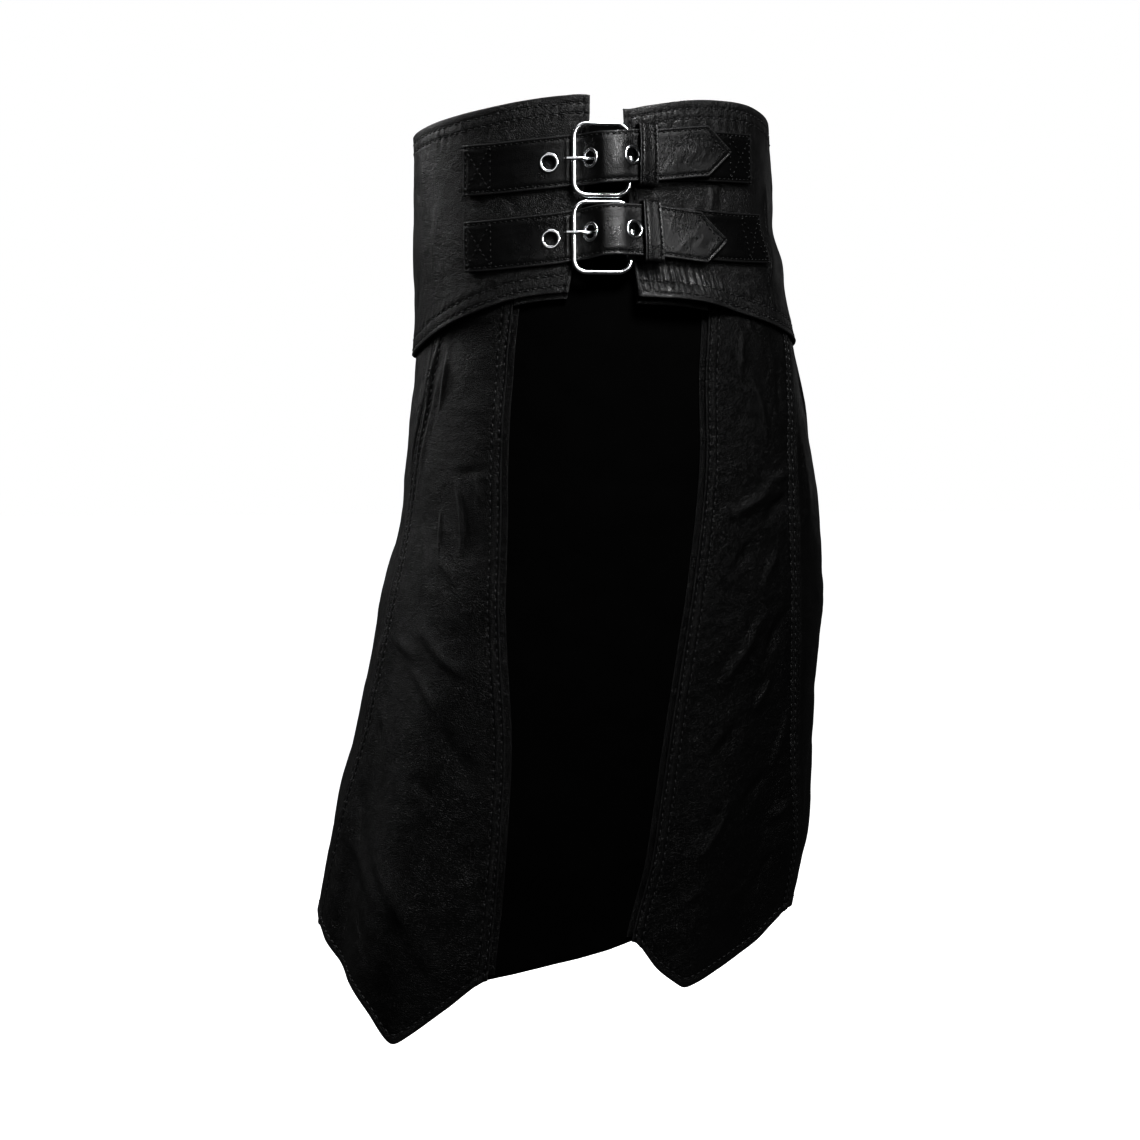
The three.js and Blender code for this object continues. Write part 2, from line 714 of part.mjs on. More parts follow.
// The buckle's own axes: across from its toe bar to its heel bar, up, and out of the yoke
function bucklePlace(middle) {
  const toe = yokePoint(TOE_ANGLE, middle, TOE_LIFT);
  const heel = yokePoint(HEEL_ANGLE, middle, HEEL_LIFT);
  const across = heel.clone().sub(toe).normalize();
  const middleAngle = (TOE_ANGLE + HEEL_ANGLE) / 2;
  const rise = yokePoint(middleAngle, middle + BUCKLE_HEIGHT / 2, 0)
    .sub(yokePoint(middleAngle, middle - BUCKLE_HEIGHT / 2, 0));
  const out = new THREE.Vector3().crossVectors(across, rise).normalize();
  const up = new THREE.Vector3().crossVectors(out, across);
  return { toe, heel, place: new THREE.Matrix4().makeBasis(across, up, out).setPosition(heel) };
}

// A closed round wire bent to a rectangle with round corners
function buckleFrame(buckle) {
  const width = buckle.toe.distanceTo(buckle.heel);
  const half = BUCKLE_HEIGHT / 2;
  const corners = [
    { x: 0, y: half, turn: 90 },
    { x: -width, y: half, turn: 180 },
    { x: -width, y: -half, turn: 270 },
    { x: 0, y: -half, turn: 360 },
  ];
  const sections = [];
  for (const { x, y, turn } of corners) {
    const middleX = x + (x < 0 ? BUCKLE_CORNER_RADIUS : -BUCKLE_CORNER_RADIUS);
    const middleY = y - Math.sign(y) * BUCKLE_CORNER_RADIUS;
    for (let step = 0; step <= CORNER_STEPS; step += 1) {
      const direction = (turn - 90 + (90 * step) / CORNER_STEPS) * DEGREE;
      sections.push({ middleX, middleY, direction });
    }
  }
  const loops = sections.map(({ middleX, middleY, direction }) => {
    const loop = [];
    for (let side = 0; side < WIRE_SIDES; side += 1) {
      const turn = (side / WIRE_SIDES) * 2 * Math.PI;
      const reach = BUCKLE_CORNER_RADIUS + WIRE_RADIUS * Math.cos(turn);
      const x = middleX + reach * Math.cos(direction);
      const y = middleY + reach * Math.sin(direction);
      loop.push(new THREE.Vector3(x, y, WIRE_RADIUS * Math.sin(turn)));
    }
    return loop;
  });
  const positions = loops.flat().flatMap((point) => point.toArray());
  const index = (section, side) => (section % loops.length) * WIRE_SIDES + (side % WIRE_SIDES);
  const faces = [];
  for (let section = 0; section < loops.length; section += 1) {
    for (let side = 0; side < WIRE_SIDES; side += 1) {
      faces.push(index(section, side), index(section + 1, side), index(section + 1, side + 1));
      faces.push(index(section, side), index(section + 1, side + 1), index(section, side + 1));
    }
  }
  return facingOut(positions, faces).applyMatrix4(buckle.place);
}

// The tongue: a ring round the heel bar, and a rod through the strap's hole and over the toe bar
function prongSolid(buckle, height) {
  const ringPlace = buckle.place.clone().setPosition(yokePoint(HEEL_ANGLE, height, HEEL_LIFT));
  const bore = WIRE_RADIUS + GAP;
  const collar = toSolid(uprightCylinder(bore + PRONG_RING_WALL, PRONG_RING_LENGTH, WIRE_SIDES, ringPlace));
  const barRoom = toSolid(uprightCylinder(bore, PRONG_RING_LENGTH * 2, WIRE_SIDES, ringPlace));
  const route = new THREE.CatmullRomCurve3(
    PRONG_PATH.map(({ angle, lift }) => yokePoint(angle, height, lift)),
  );
  const section = new THREE.Shape().absarc(0, 0, PRONG_RADIUS, 0, 2 * Math.PI);
  const rod = new THREE.ExtrudeGeometry(section, {
    extrudePath: route,
    steps: PRONG_STEPS,
    curveSegments: PRONG_SIDES / 2,
  });
  return collar.add(toSolid(rod)).subtract(barRoom);
}

// The strap that carries the buckle: its end is an eye round the heel bar, slotted for the tongue
function chapeSolid(strap, buckle) {
  const halfWidth = (angle) => mix(CHAPE_EYE_HALF_WIDTH, STRAP_HALF_WIDTH,
    smoothStep(HEEL_ANGLE, CHAPE_FULL_WIDTH_ANGLE, angle));
  const surface = strapSurface({
    path: strap.chapePath,
    lifts: CHAPE_LIFT,
    startAngle: HEEL_ANGLE,
    endAngle: strap.chapeEndAngle,
    thickness: CHAPE_THICKNESS,
    halfWidth,
  });
  const wall = wallGeometry(surface, evenStops(CHAPE_COLUMNS), evenStops(STRAP_ROWS), CHAPE_THICKNESS);
  const strip = toSolid(wall);
  const bore = WIRE_RADIUS + GAP;
  const eye = toSolid(uprightCylinder(bore + EYE_WALL, EYE_HALF_LENGTH * 2, WIRE_SIDES * 2, buckle.place));
  const barRoom = toSolid(uprightCylinder(bore, BUCKLE_HEIGHT, WIRE_SIDES, buckle.place));
  const slotReach = bore + PRONG_RING_WALL + GAP;
  const slotPlace = buckle.place.clone().setPosition(yokePoint(HEEL_ANGLE, strap.prongHeight, HEEL_LIFT));
  const slotBox = new THREE.BoxGeometry(slotReach * 2, PRONG_SLOT_LENGTH, slotReach * CUTTER_REACH);
  const slot = toSolid(slotBox.applyMatrix4(slotPlace));
  return strip.add(eye).subtract(barRoom).subtract(slot);
}

// The loop round both straps, one rounded rectangle for each column
function keeperGeometry(strap) {
  const { startAngle, endAngle, middle, halfHeight } = strap.keeper;
  const backInner = GAP + KEEPER_BACK_THICKNESS;
  const loop = (angle, halfSize, back, front, cornerRadius) => {
    const corners = [
      { side: 1, base: front, turn: 0 },
      { side: -1, base: front, turn: 90 },
      { side: -1, base: back, turn: 180 },
      { side: 1, base: back, turn: 270 },
    ];
    const places = corners.flatMap(({ side, base, turn }) => KEEPER_CORNER_TURNS.map((step) => {
      const direction = (turn + step) * DEGREE;
      const inward = base === front ? -cornerRadius : cornerRadius;
      const height = middle + side * (halfSize - cornerRadius) + cornerRadius * Math.cos(direction);
      return { height, lift: base + inward + cornerRadius * Math.sin(direction) };
    }));
    const across = (base, from, to) => KEEPER_FACE_STOPS.map((share) => (
      { height: middle + mix(from, to, share) * (halfSize - cornerRadius), lift: base }));
    const cornerPoints = places.length / corners.length;
    const ring = [
      ...places.slice(0, cornerPoints), ...across(front, 1, -1),
      ...places.slice(cornerPoints, cornerPoints * 3), ...across(back, -1, 1),
      ...places.slice(cornerPoints * 3),
    ];
    return ring.map(({ height, lift }) => yokePoint(angle, height, lift));
  };
  const outerLoops = [];
  const innerLoops = [];
  for (const share of evenStops(KEEPER_COLUMNS)) {
    const angle = mix(startAngle, endAngle, share);
    const clearance = mix(KEEPER_EYELET_CLEARANCE, GAP, share);
    const strapOuter = read(STRAP_LIFT, 'angle', angle, 'lift') + STRAP_THICKNESS;
    const frontInner = strapOuter + clearance;
    const frontOuter = frontInner + KEEPER_THICKNESS;
    outerLoops.push(loop(angle, halfHeight, GAP, frontOuter, KEEPER_CORNER_RADIUS));
    const innerRadius = KEEPER_CORNER_RADIUS - KEEPER_THICKNESS;
    innerLoops.push(loop(angle, halfHeight - KEEPER_THICKNESS, backInner, frontInner, innerRadius));
  }
  return bandGeometry(outerLoops, innerLoops);
}

function addStrapSet(level) {
  const strap = STRAPS[level];
  const buckle = bucklePlace(strap.buckleMiddle);
  const halfWidth = (angle) => {
    const taper = (angle - strap.cornerAngle) / (strap.tipAngle - strap.cornerAngle);
    return mix(STRAP_HALF_WIDTH, STRAP_TIP_HALF_WIDTH, THREE.MathUtils.clamp(taper, 0, 1));
  };
  const surface = strapSurface({
    path: strap.path,
    lifts: STRAP_LIFT,
    startAngle: strap.startAngle,
    endAngle: strap.tipAngle,
    thickness: STRAP_THICKNESS,
    halfWidth,
  });
  const corner = (strap.cornerAngle - strap.startAngle) / (strap.tipAngle - strap.startAngle);
  const stops = stopsWith(evenStops(STRAP_COLUMNS), corner);
  let solid = toSolid(wallGeometry(surface, stops, evenStops(STRAP_ROWS), STRAP_THICKNESS));
  strap.eyeletAngles.forEach((angle, position) => {
    const across = (angle - strap.startAngle) / (strap.tipAngle - strap.startAngle);
    const place = strapPlace(surface, across);
    const hole = new THREE.CylinderGeometry(
      EYELET_BARREL_RADIUS, EYELET_BARREL_RADIUS, STRAP_THICKNESS * CUTTER_REACH, EYELET_SIDES,
    );
    solid = solid.subtract(toSolid(hole.rotateX(Math.PI / 2).applyMatrix4(place)));
    addPiece(`eyelet_${level}_${position + 1}`, eyeletGeometry().applyMatrix4(place), CHROME);
  });
  addPiece(`strap_${level}`, toGeometry(solid), LEATHER);
  addPiece(`chape_${level}`, toGeometry(chapeSolid(strap, buckle)), LEATHER);
  addPiece(`keeper_${level}`, keeperGeometry(strap), LEATHER);
  addPiece(`buckle_${level}`, buckleFrame(buckle), CHROME);
  addPiece(`prong_${level}`, toGeometry(prongSolid(buckle, strap.prongHeight)), CHROME);
}

addYoke();
addPanels();
addEdgeFacings();
addUnderlay();
addStrapSet('upper');
addStrapSet('lower');

export default kilt;
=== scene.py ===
# A worn black leather kilt: leather shells with their folds, creases and topstitching, chromed
# buckles and eyelets, a pale studio and the camera. Tables are in millimetres and degrees.
import json
import math

import bpy
import numpy as np
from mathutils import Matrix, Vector

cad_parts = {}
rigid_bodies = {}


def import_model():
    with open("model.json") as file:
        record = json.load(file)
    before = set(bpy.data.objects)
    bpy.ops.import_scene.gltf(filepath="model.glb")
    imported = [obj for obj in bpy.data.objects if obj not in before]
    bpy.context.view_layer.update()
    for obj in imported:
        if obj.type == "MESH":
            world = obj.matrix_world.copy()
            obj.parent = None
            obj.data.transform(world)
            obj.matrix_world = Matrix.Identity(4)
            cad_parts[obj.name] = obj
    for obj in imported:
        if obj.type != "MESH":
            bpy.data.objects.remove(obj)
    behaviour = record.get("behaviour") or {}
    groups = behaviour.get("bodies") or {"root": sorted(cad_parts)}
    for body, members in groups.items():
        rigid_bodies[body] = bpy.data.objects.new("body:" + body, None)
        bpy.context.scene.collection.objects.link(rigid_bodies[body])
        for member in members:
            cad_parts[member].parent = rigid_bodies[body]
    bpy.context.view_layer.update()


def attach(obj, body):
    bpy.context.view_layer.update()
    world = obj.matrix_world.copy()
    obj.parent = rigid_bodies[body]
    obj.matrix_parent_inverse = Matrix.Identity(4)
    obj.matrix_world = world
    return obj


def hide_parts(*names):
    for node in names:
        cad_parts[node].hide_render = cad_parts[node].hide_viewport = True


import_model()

MM = 0.001


def table(columns, rows):
    """A table as one array for each named column."""
    return dict(zip(columns.split(), np.array(rows, dtype=float).T))


# Leather thicknesses, and the layers as distances outside the kilt's form
PANEL_THICKNESS = 1.6
YOKE_THICKNESS = 2.4
FACING_THICKNESS = 1.0
YOKE_FACING_THICKNESS = 1.2
UNDERLAY_THICKNESS = 1.2
STRAP_THICKNESS = 2.4
CHAPE_THICKNESS = 3.0
CHAPE_LEATHER = 1.45
YOKE_OUTER = 2.9
YOKE_FACING_OUT = 0.1
EDGE_FACING_OUT = -2.2
UNDERLAY_OUT = -3.7
GAP = 0.3

# How far pieces lap or peek
PANEL_TUCK = 12
YOKE_FACING_TUCK = 14
YOKE_FACING_PEEK = 4
YOKE_FACING_INSET = 0.8
EDGE_FACING_PEEK = 4
EDGE_FACING_LAP = 13
EDGE_FACING_TUCK = 8
EDGE_FACING_HEM_RISE = 3

# Hardware
WIRE_RADIUS = 1.9
BUCKLE_HEIGHT = 48.5
BUCKLE_CORNER_RADIUS = 9
TOE_ANGLE = -10.4
HEEL_ANGLE = 5.8
TOE_LIFT = 5.6
HEEL_LIFT = 4.4
PRONG_RADIUS = 1.55
PRONG_TIP_RADIUS = 1.15
PRONG_RING_RADIUS = 3.15
PRONG_RING_HALF_WALL = 0.85
PRONG_RING_HALF_LENGTH = 2.0
PRONG_SLOT_LENGTH = 5
EYELET_FLANGE_RADIUS = 7
EYELET_HOLE_RADIUS = 5.2
EYELET_BORE_RADIUS = 4.6
EYELET_BARREL_WALL = 0.3
EYELET_FLANGE_HEIGHT = 0.9
EYELET_SEAT = 0.3
KEEPER_THICKNESS = 1.6
KEEPER_CORNER_RADIUS = 2.8
KEEPER_EYELET_CLEARANCE = 1.7
KEEPER_CROWN = 2.0

# The form's sections: half widths to the viewer's left and right, half depths to the front on
# each side of the middle, and to the back
FORM = table("height left right front_left front_right back", [
    (60, 129.5, 130, 101, 101, 103),
    (-25, 130.5, 134, 102, 102, 106),
    (-48, 130.5, 141.5, 103.5, 103.5, 108),
    (-75, 129.5, 145, 107, 106, 110),
    (-115, 131.5, 153.5, 110, 108, 116),
    (-200, 140, 170, 115, 108, 126),
    (-250, 146, 175.5, 118, 107, 130),
    (-300, 157.5, 178, 121, 105, 134),
    (-400, 178, 171.5, 127, 100, 142),
    (-480, 195.5, 169, 131, 95, 148),
    (-540, 207, 157, 134, 91, 152),
    (-610, 214, 148, 137, 89, 155),
])
FRONT_BLEND_ANGLE = 45

# The largest folds, full at the hem
FOLDS = table("top_angle hem_angle top_height depth width", [
    (-42, -47, -230, 16, 12),
    (-66, -68, -200, -5, 7),
    (30, 24, -330, 6, 9),
    (50, 46, -260, -5, 9),
    (104, 106, -180, 9, 12),
    (132, 130, -240, -7, 9),
    (154, 153, -160, 10, 12),
    (-176, -178, -300, -6, 10),
    (-152, -154, -190, 9, 12),
    (-128, -129, -270, -6, 9),
    (-104, -106, -220, 8, 11),
])
FOLD_FULL_HEIGHT = -560

# Creases by their middles: tilt leans the top towards larger angles, bend bows them towards
# larger angles, and depth is a ridge, or a trough where it is below zero
CREASES = table("angle height length tilt bend depth width", [
    (-74, -184, 150, 4, -3, 1.2, 3.4),
    (-65, -186, 128, 12, -4, 1.0, 2.6),
    (-69, -160, 100, 9, 2, 0.8, 2.4),
    (-84, -235, 110, -6, 3, 0.9, 3.0),
    (-59, -139, 62, 6, 2, 1.2, 1.8),
    (-65, -128, 46, 16, 0, 1.0, 1.6),
    (-47, -236, 66, -13, 3, 2.0, 1.8),
    (-53, -246, 40, -8, -2, 1.2, 1.7),
    (-40, -217, 30, -24, 1, 0.9, 1.9),
    (-44.5, -202, 40, 82, 1, -0.7, 1.6),
    (-48.5, -276, 34, -55, 2, 1.0, 3.2),
    (-60, -262, 70, -22, 4, -1.0, 5.0),
    (-43, -331, 84, -56, -6, 1.2, 4.0),
    (-62, -334, 58, -70, 3, 1.0, 4.4),
    (-50, -362, 66, -48, 5, 0.9, 4.2),
    (-66, -398, 90, -34, 6, 1.2, 6.5),
    (-37, -396, 60, -40, -3, -1.1, 6.0),
    (-33.6, -414, 36, -28, 0, -1.3, 8.0),
    (-43, -430, 40, -50, 2, -0.9, 6.0),
    (-31.5, -478, 34, -12, 0, -1.1, 7.0),
    (-47, -508, 130, -44, 4, 1.4, 7.5),
    (-55, -532, 90, -40, -3, -0.9, 6.0),
    (-63, -494, 104, -62, 5, 1.6, 7.0),
    (-38, -546, 60, -40, 0, 0.9, 5.0),
    (-72, -452, 78, -28, 3, -1.1, 6.5),
    (40, -120, 46, 12, -3, 1.4, 3.4),
    (43, -158, 60, -14, 4, 1.4, 3.2),
    (54, -140, 70, 8, 3, -0.9, 5.0),
    (36, -222, 74, 66, 5, 2.4, 4.6),
    (47, -229, 44, 58, 0, -2.2, 6.0),
    (50, -205, 44, 74, 2, 1.5, 3.2),
    (34, -262, 46, 40, 2, -0.7, 4.4),
    (44, -276, 50, 30, -3, 1.5, 3.8),
    (34, -330, 84, 36, 4, 1.9, 4.4),
    (46, -326, 60, 24, -2, -1.4, 5.0),
    (42.6, -366, 40, 32, 0, 1.6, 3.2),
    (30, -396, 60, 42, 3, -0.8, 5.0),
    (51, -402, 70, 20, 3, 1.4, 4.2),
    (27, -462, 74, 35, 3, 1.7, 4.2),
    (42, -440, 56, 48, -3, -1.6, 5.4),
    (53, -457, 34, 60, 0, 1.5, 3.4),
    (22, -510, 34, 60, 0, 0.9, 3.6),
    (38, -512, 66, 52, 4, 0.8, 5.4),
    (50, -500, 48, 30, -2, -0.8, 5.0),
    (64, -210, 90, 2, 3, 0.9, 4.4),
    (80, -150, 80, -10, 4, 1.5, 5.0),
    (92, -196, 120, -14, -5, -1.4, 6.0),
    (86, -300, 96, 10, 4, 1.3, 5.0),
    (98, -404, 110, -20, 5, 1.4, 7.0),
    (75, -440, 90, 12, -4, -1.2, 6.0),
    (112, -260, 84, 24, 4, 1.2, 5.0),
    (116, -470, 80, -32, 3, -1.1, 6.0),
    (100, -510, 60, 40, 2, 0.9, 5.0),
    (138, -170, 86, 12, -4, 1.3, 4.6),
    (146, -290, 104, -18, 5, -1.3, 6.0),
    (140, -398, 90, 26, 4, 1.2, 5.4),
    (166, -230, 96, -10, 4, 1.1, 4.8),
    (170, -360, 80, 30, -3, -1.2, 6.0),
    (162, -470, 104, -24, 5, 1.3, 6.6),
    (140, -500, 60, 44, 0, 0.8, 4.6),
    (-170, -180, 74, 8, 3, 1.1, 4.4),
    (-163, -300, 110, 16, -5, 1.3, 5.8),
    (-172, -440, 84, -30, 4, -1.1, 6.0),
    (-146, -210, 80, -14, 3, 1.2, 4.4),
    (-138, -340, 100, 20, 5, -1.4, 6.0),
    (-148, -470, 90, -26, -4, 1.3, 6.4),
    (-132, -500, 56, 38, 2, 0.8, 4.6),
    (-112, -180, 90, 10, -4, 1.4, 4.8),
    (-98, -280, 104, -16, 5, 1.2, 5.2),
    (-114, -380, 86, 28, 3, -1.2, 5.8),
    (-98, -450, 96, -20, 4, 1.3, 6.2),
    (-110, -520, 48, 36, 0, 0.8, 4.4),
    (33, -12, 30, 8, 1, 1.2, 3.6),
    (38, -8, 26, 12, 0, -0.9, 3.6),
    (27, -18, 20, 62, 0, 0.7, 2.6),
    (-24, -22, 26, -66, 1, 0.8, 2.8),
    (-31, -17, 20, -40, 0, -0.5, 2.6),
    (18, -79, 52, 86, 2, 1.1, 6.5),
    (44, -72, 40, 74, 2, 0.8, 4.4),
    (60, -48, 56, 16, 3, 1.0, 5.0),
    (68, -16, 60, 4, -3, 0.9, 4.6),
    (74, -70, 50, 58, 2, -0.8, 4.6),
    (82, 4, 70, -8, 3, 1.0, 5.2),
    (-62, -40, 80, 3, -2, 0.8, 6.0),
    (-74, 6, 66, -5, 2, 0.9, 5.0),
    (-80, -72, 54, 14, 2, -0.8, 4.8),
    (100, -40, 90, 10, 4, 1.1, 6.0),
    (118, -10, 76, -12, -3, -0.9, 5.0),
    (128, -70, 60, 60, 2, 0.9, 5.0),
    (146, -24, 84, 8, 4, 1.0, 5.6),
    (164, -64, 56, -52, 2, -0.8, 4.6),
    (-172, -14, 80, -6, 3, 1.0, 5.6),
    (-154, -70, 60, 56, 2, 0.8, 4.6),
    (-136, -20, 76, 12, -4, -0.9, 5.2),
    (-118, -60, 70, -14, 3, 1.0, 5.2),
    (-100, 0, 74, 6, 2, 0.8, 4.8),
])
CREASE_STEEP_SIDE = 0.6
CREASE_GENTLE_SIDE = 1.3
CREASE_STRENGTH = 1.35

# Where the hardware stands, so the leather under it stays plain
HARDWARE_ANGLES = (-25, 19)
HARDWARE_HEIGHTS = (-72, 44)
HARDWARE_MARGIN_ANGLE = 5
HARDWARE_MARGIN_HEIGHT = 6

# Uneven swelling of the leather: size of its hills and their height
SWELLS = table("size depth", [
    (58, 1.0),
    (23, 0.6),
    (10, 0.28),
])
YOKE_SWELL_SHARE = 0.55
SWELL_CHANGE_HEIGHTS = (-120, -80)

# The yoke's edges, by angle round the waist, and its two front ends, by height
YOKE_TOP = table("angle height", [
    (-180, 52), (-90, 42.5), (-70.5, 43.9), (-43.5, 49.2), (-26, 53.7), (-14, 56.2),
    (-5.6, 56.4), (3.9, 47.7), (11.7, 50.4), (24.4, 55.6), (37.7, 58.3), (53, 58.8),
    (70, 55), (90, 47), (180, 52),
])
YOKE_BOTTOM = table("angle height", [
    (-180, -121), (-90, -119), (-77, -114.8), (-54.5, -98.8), (-41.8, -90.4), (-29.4, -83.4),
    (-13.2, -79.5), (8, -82.6), (20.7, -83.8), (30.5, -86.6), (42.8, -92.2), (67, -102.2),
    (85, -109), (110, -115), (180, -121),
])
YOKE_ENDS = table("height left right", [
    (60, -5.6, 3.9),
    (19, -6.2, 4.9),
    (-29, -8.5, 6.2),
    (-84, -12.7, 7.1),
])

# The panels' seams and free edges, as angles by height
SEAMS = table("height left_inner left_outer right_inner right_outer", [
    (-75, -30, -62, 30.5, 73),
    (-130, -32, -67, 26.5, 66),
    (-210, -31.9, -75, 24, 57.3),
    (-295, -29.3, -75.5, 19.6, 56),
    (-385, -24.8, -77.5, 15.3, 60),
    (-435, -23.8, -81, 13, 61.6),
    (-490, -23.5, -85, 10.2, 66),
    (-540, -24, -88, 6.1, 69.5),
    (-610, -25.5, -89, 5, 71),
])
BACK_SEAMS = table("height left right", [
    (-75, -121, 126),
    (-540, -124, 128),
])
HEM = table("angle height", [
    (-180, -545), (-100, -546), (-85.5, -547.5), (-77, -554), (-69.7, -563), (-55.4, -578),
    (-49.8, -588), (-44.8, -604), (-43.3, -606.5), (-41.2, -603), (-32.8, -581.2),
    (-24.6, -561), (6, -538.8), (13.8, -561.9), (20.2, -575.8), (21.8, -577.6), (24, -576.8),
    (33.4, -570.6), (47.4, -562), (60, -545.5), (68.6, -539.5), (80, -541), (180, -545),
])
UNDERLAY_EDGES = table("height left right", [
    (40, -15, 14),
    (-30, -24, 24),
    (-85, -36, 37),
    (-210, -38, 31),
    (-400, -31, 21),
    (-550, -31, 13),
])
UNDERLAY_TOP = 38
UNDERLAY_HEM = table("angle height", [
    (-40, -573),
    (-24.8, -561.5),
    (6.5, -539.5),
    (14, -534),
])
UNDERLAY_RISE_START = -55
UNDERLAY_RISE_END = -20

# The straps' paths over the yoke: height of the middle line, by angle
STRAPS = {
    "upper": {
        "path": table("angle height", [
            (-47.7, 7.6), (-35.7, 7.6), (-18, 10), (-10.4, 11.6), (0, 12.7), (8, 14.6),
            (14, 15.6), (30, 20.6), (40.2, 22),
        ]),
        "chape_path": table("angle height", [
            (5.8, 11.8), (8, 13.2), (14, 15.6), (39, 18.4), (52, 20),
        ]),
        "start": -47.7,
        "corner": 31,
        "tip": 40.2,
        "chape_end": 52,
        "buckle_middle": 11.8,
        "keeper": {"start": 7.9, "end": 13.8, "middle": 15.4, "half_height": 21.5},
        "eyelets": [-17.9, -5.7, 6.0],
        "prong_height": 11.9,
    },
    "lower": {
        "path": table("angle height", [
            (-47.2, -45.7), (-35.8, -45.2), (-17.4, -42.2), (-10.4, -39.9), (-5.2, -38),
            (0.3, -36.4), (9, -36.4), (14.5, -36.8), (27.5, -39.3), (36, -40.2),
        ]),
        "chape_path": table("angle height", [
            (5.8, -41.3), (8, -39.6), (14, -37), (39, -37.6), (56.4, -35.8),
        ]),
        "start": -47.2,
        "corner": 28,
        "tip": 36,
        "chape_end": 56.4,
        "buckle_middle": -41.3,
        "keeper": {"start": 8.9, "end": 14.6, "middle": -36.8, "half_height": 21},
        "eyelets": [-17.4, -5.6, 6.4],
        "prong_height": -38.4,
    },
}
STRAP_HALF_WIDTH = 18
STRAP_TIP_HALF_WIDTH = 1.2
STRAP_CROWN = 1.8
CROWN_START = (-7, -2)
CROWN_END = (7.5, 3)
CHAPE_EYE_HALF_WIDTH = 15.8
CHAPE_FULL_WIDTH_ANGLE = 22

# How far the inner face of the strap and of the buckle's own strap stands off the yoke
STRAP_LIFT = table("angle lift", [
    (-48, 0.3), (-20, 0.3), (-13.5, 0.4), (-10.4, 0.6), (-8.5, 1.0), (-7.6, 2.2), (-5.7, 6.2),
    (-4.0, 9.4), (-2.4, 11.2), (0.2, 11.9), (3, 11.1), (5.8, 9.3), (8, 8.2), (11, 6.5),
    (14.5, 5.5), (18, 5.0), (24, 4.2), (41, 4.1),
])
CHAPE_LIFT = table("angle lift", [
    (5.8, 2.9), (8, 2.2), (10, 1.8), (15.5, 1.8), (22, 0.75), (57, 0.75),
])
PRONG_PATH = table("angle lift", [
    (4.6, 4.5), (2.5, 4.3), (0, 4.2), (-2.4, 4.7), (-4.2, 5.9), (-5.7, 7.4), (-7.5, 8.8),
    (-9.2, 9.3), (-10.8, 9.2), (-13.2, 8.7),
])

# Small creases of the straps, by their middles along and up the strap: level 0 is the upper one
STRAP_CREASES = table("level angle rise length tilt depth width", [
    (0, -12.7, 0, 46, 0, 0.5, 0.9),
    (0, -31, 2, 40, 84, -0.3, 2.4),
    (0, -27, -7, 22, 70, 0.22, 2.0),
    (0, -22, 8, 20, 96, 0.2, 1.8),
    (0, 17, -7, 18, 30, 0.22, 1.2),
    (0, 19.5, -5, 20, 24, 0.26, 1.1),
    (0, 21.5, -3, 22, 26, 0.28, 1.2),
    (0, 23.5, -5, 18, 22, 0.24, 1.1),
    (0, 25.5, -2, 20, 28, 0.26, 1.2),
    (0, 20, 5, 28, 82, -0.3, 1.6),
    (0, 29, -4, 16, 34, 0.24, 1.1),
    (1, -12.7, 0, 46, 0, 0.5, 0.9),
    (1, -30, 4, 34, 78, -0.25, 2.2),
    (1, -25, -6, 24, 88, 0.2, 1.9),
    (1, 17.5, 6, 14, 12, 0.22, 1.2),
    (1, 20, -8, 20, 34, 0.28, 1.2),
    (1, 22, -4, 22, 38, 0.26, 1.2),
    (1, 24, -1, 24, 40, 0.3, 1.4),
    (1, 26, -4, 20, 44, 0.24, 1.2),
    (1, 28.5, -5, 16, 50, -0.24, 1.3),
])


def bands(*rows):
    """Grooves and ridges along an edge."""
    return table("distance depth width", rows)


# Relief beside each kind of edge, by distance from it
EDGE_RELIEF = {
    "turned": bands((0.8, 0.4, 1.2), (2.9, -0.5, 0.8), (5.7, 0.5, 1.9), (8.5, -0.5, 0.8),
                    (12.5, -0.2, 3.0)),
    "lapping": bands((0.0, 0.8, 4.0), (3.1, -0.5, 0.8), (5.6, 0.6, 2.2), (8.2, -0.5, 0.8),
                     (12.5, -0.2, 3.0)),
    "lapped": bands((9.2, 0.32, 1.4), (12.5, -0.2, 2.0)),
    "hem": bands((1.0, 0.2, 1.4), (4.0, 0.3, 2.0), (6.9, -0.42, 0.8), (10.0, -0.12, 2.4)),
    "yoke_top": bands((1.5, 0.25, 2.0), (6.2, -0.4, 0.8), (9.6, 0.28, 2.0), (13.0, -0.4, 0.8),
                      (17.0, -0.12, 2.6)),
    "yoke_bottom": bands((1.2, 0.3, 1.6), (4.6, -0.4, 0.8), (8.4, 0.34, 2.2), (12.2, -0.42, 0.8),
                         (16.0, 0.2, 2.4)),
    "yoke_end": bands((1.2, 0.25, 1.5), (4.0, -0.4, 0.8), (7.0, -0.1, 2.0)),
    "strap": bands((1.0, 0.32, 1.0), (2.8, -0.5, 0.75), (5.5, 0.2, 2.2)),
    "keeper": bands((0.8, 0.2, 0.8), (2.2, -0.4, 0.6), (4.2, 0.15, 1.4)),
    "plain": bands((1.0, 0.1, 1.2)),
}

# How far each kind of edge runs past its seam's line, and how a lapped one sinks under its neighbour
EDGE_REACH = {"turned": 0, "lapping": -GAP / 2, "lapped": 4.5}
LAP_DEPTH = 2.3
LAP_SLOPE = (7.5, 3.6)
FACING_EDGES = ("plain", "plain", None, "plain")

# Rows of stitches, by their distances from each kind of edge
STITCH_ROWS = {
    "turned": (2.9, 8.5),
    "lapping": (3.1, 8.2),
    "hem": (6.9,),
    "yoke_top": (6.2, 13.0),
    "yoke_bottom": (4.6, 12.2),
    "yoke_end": (4.0,),
    "strap": (2.8,),
    "keeper": (2.2,),
}

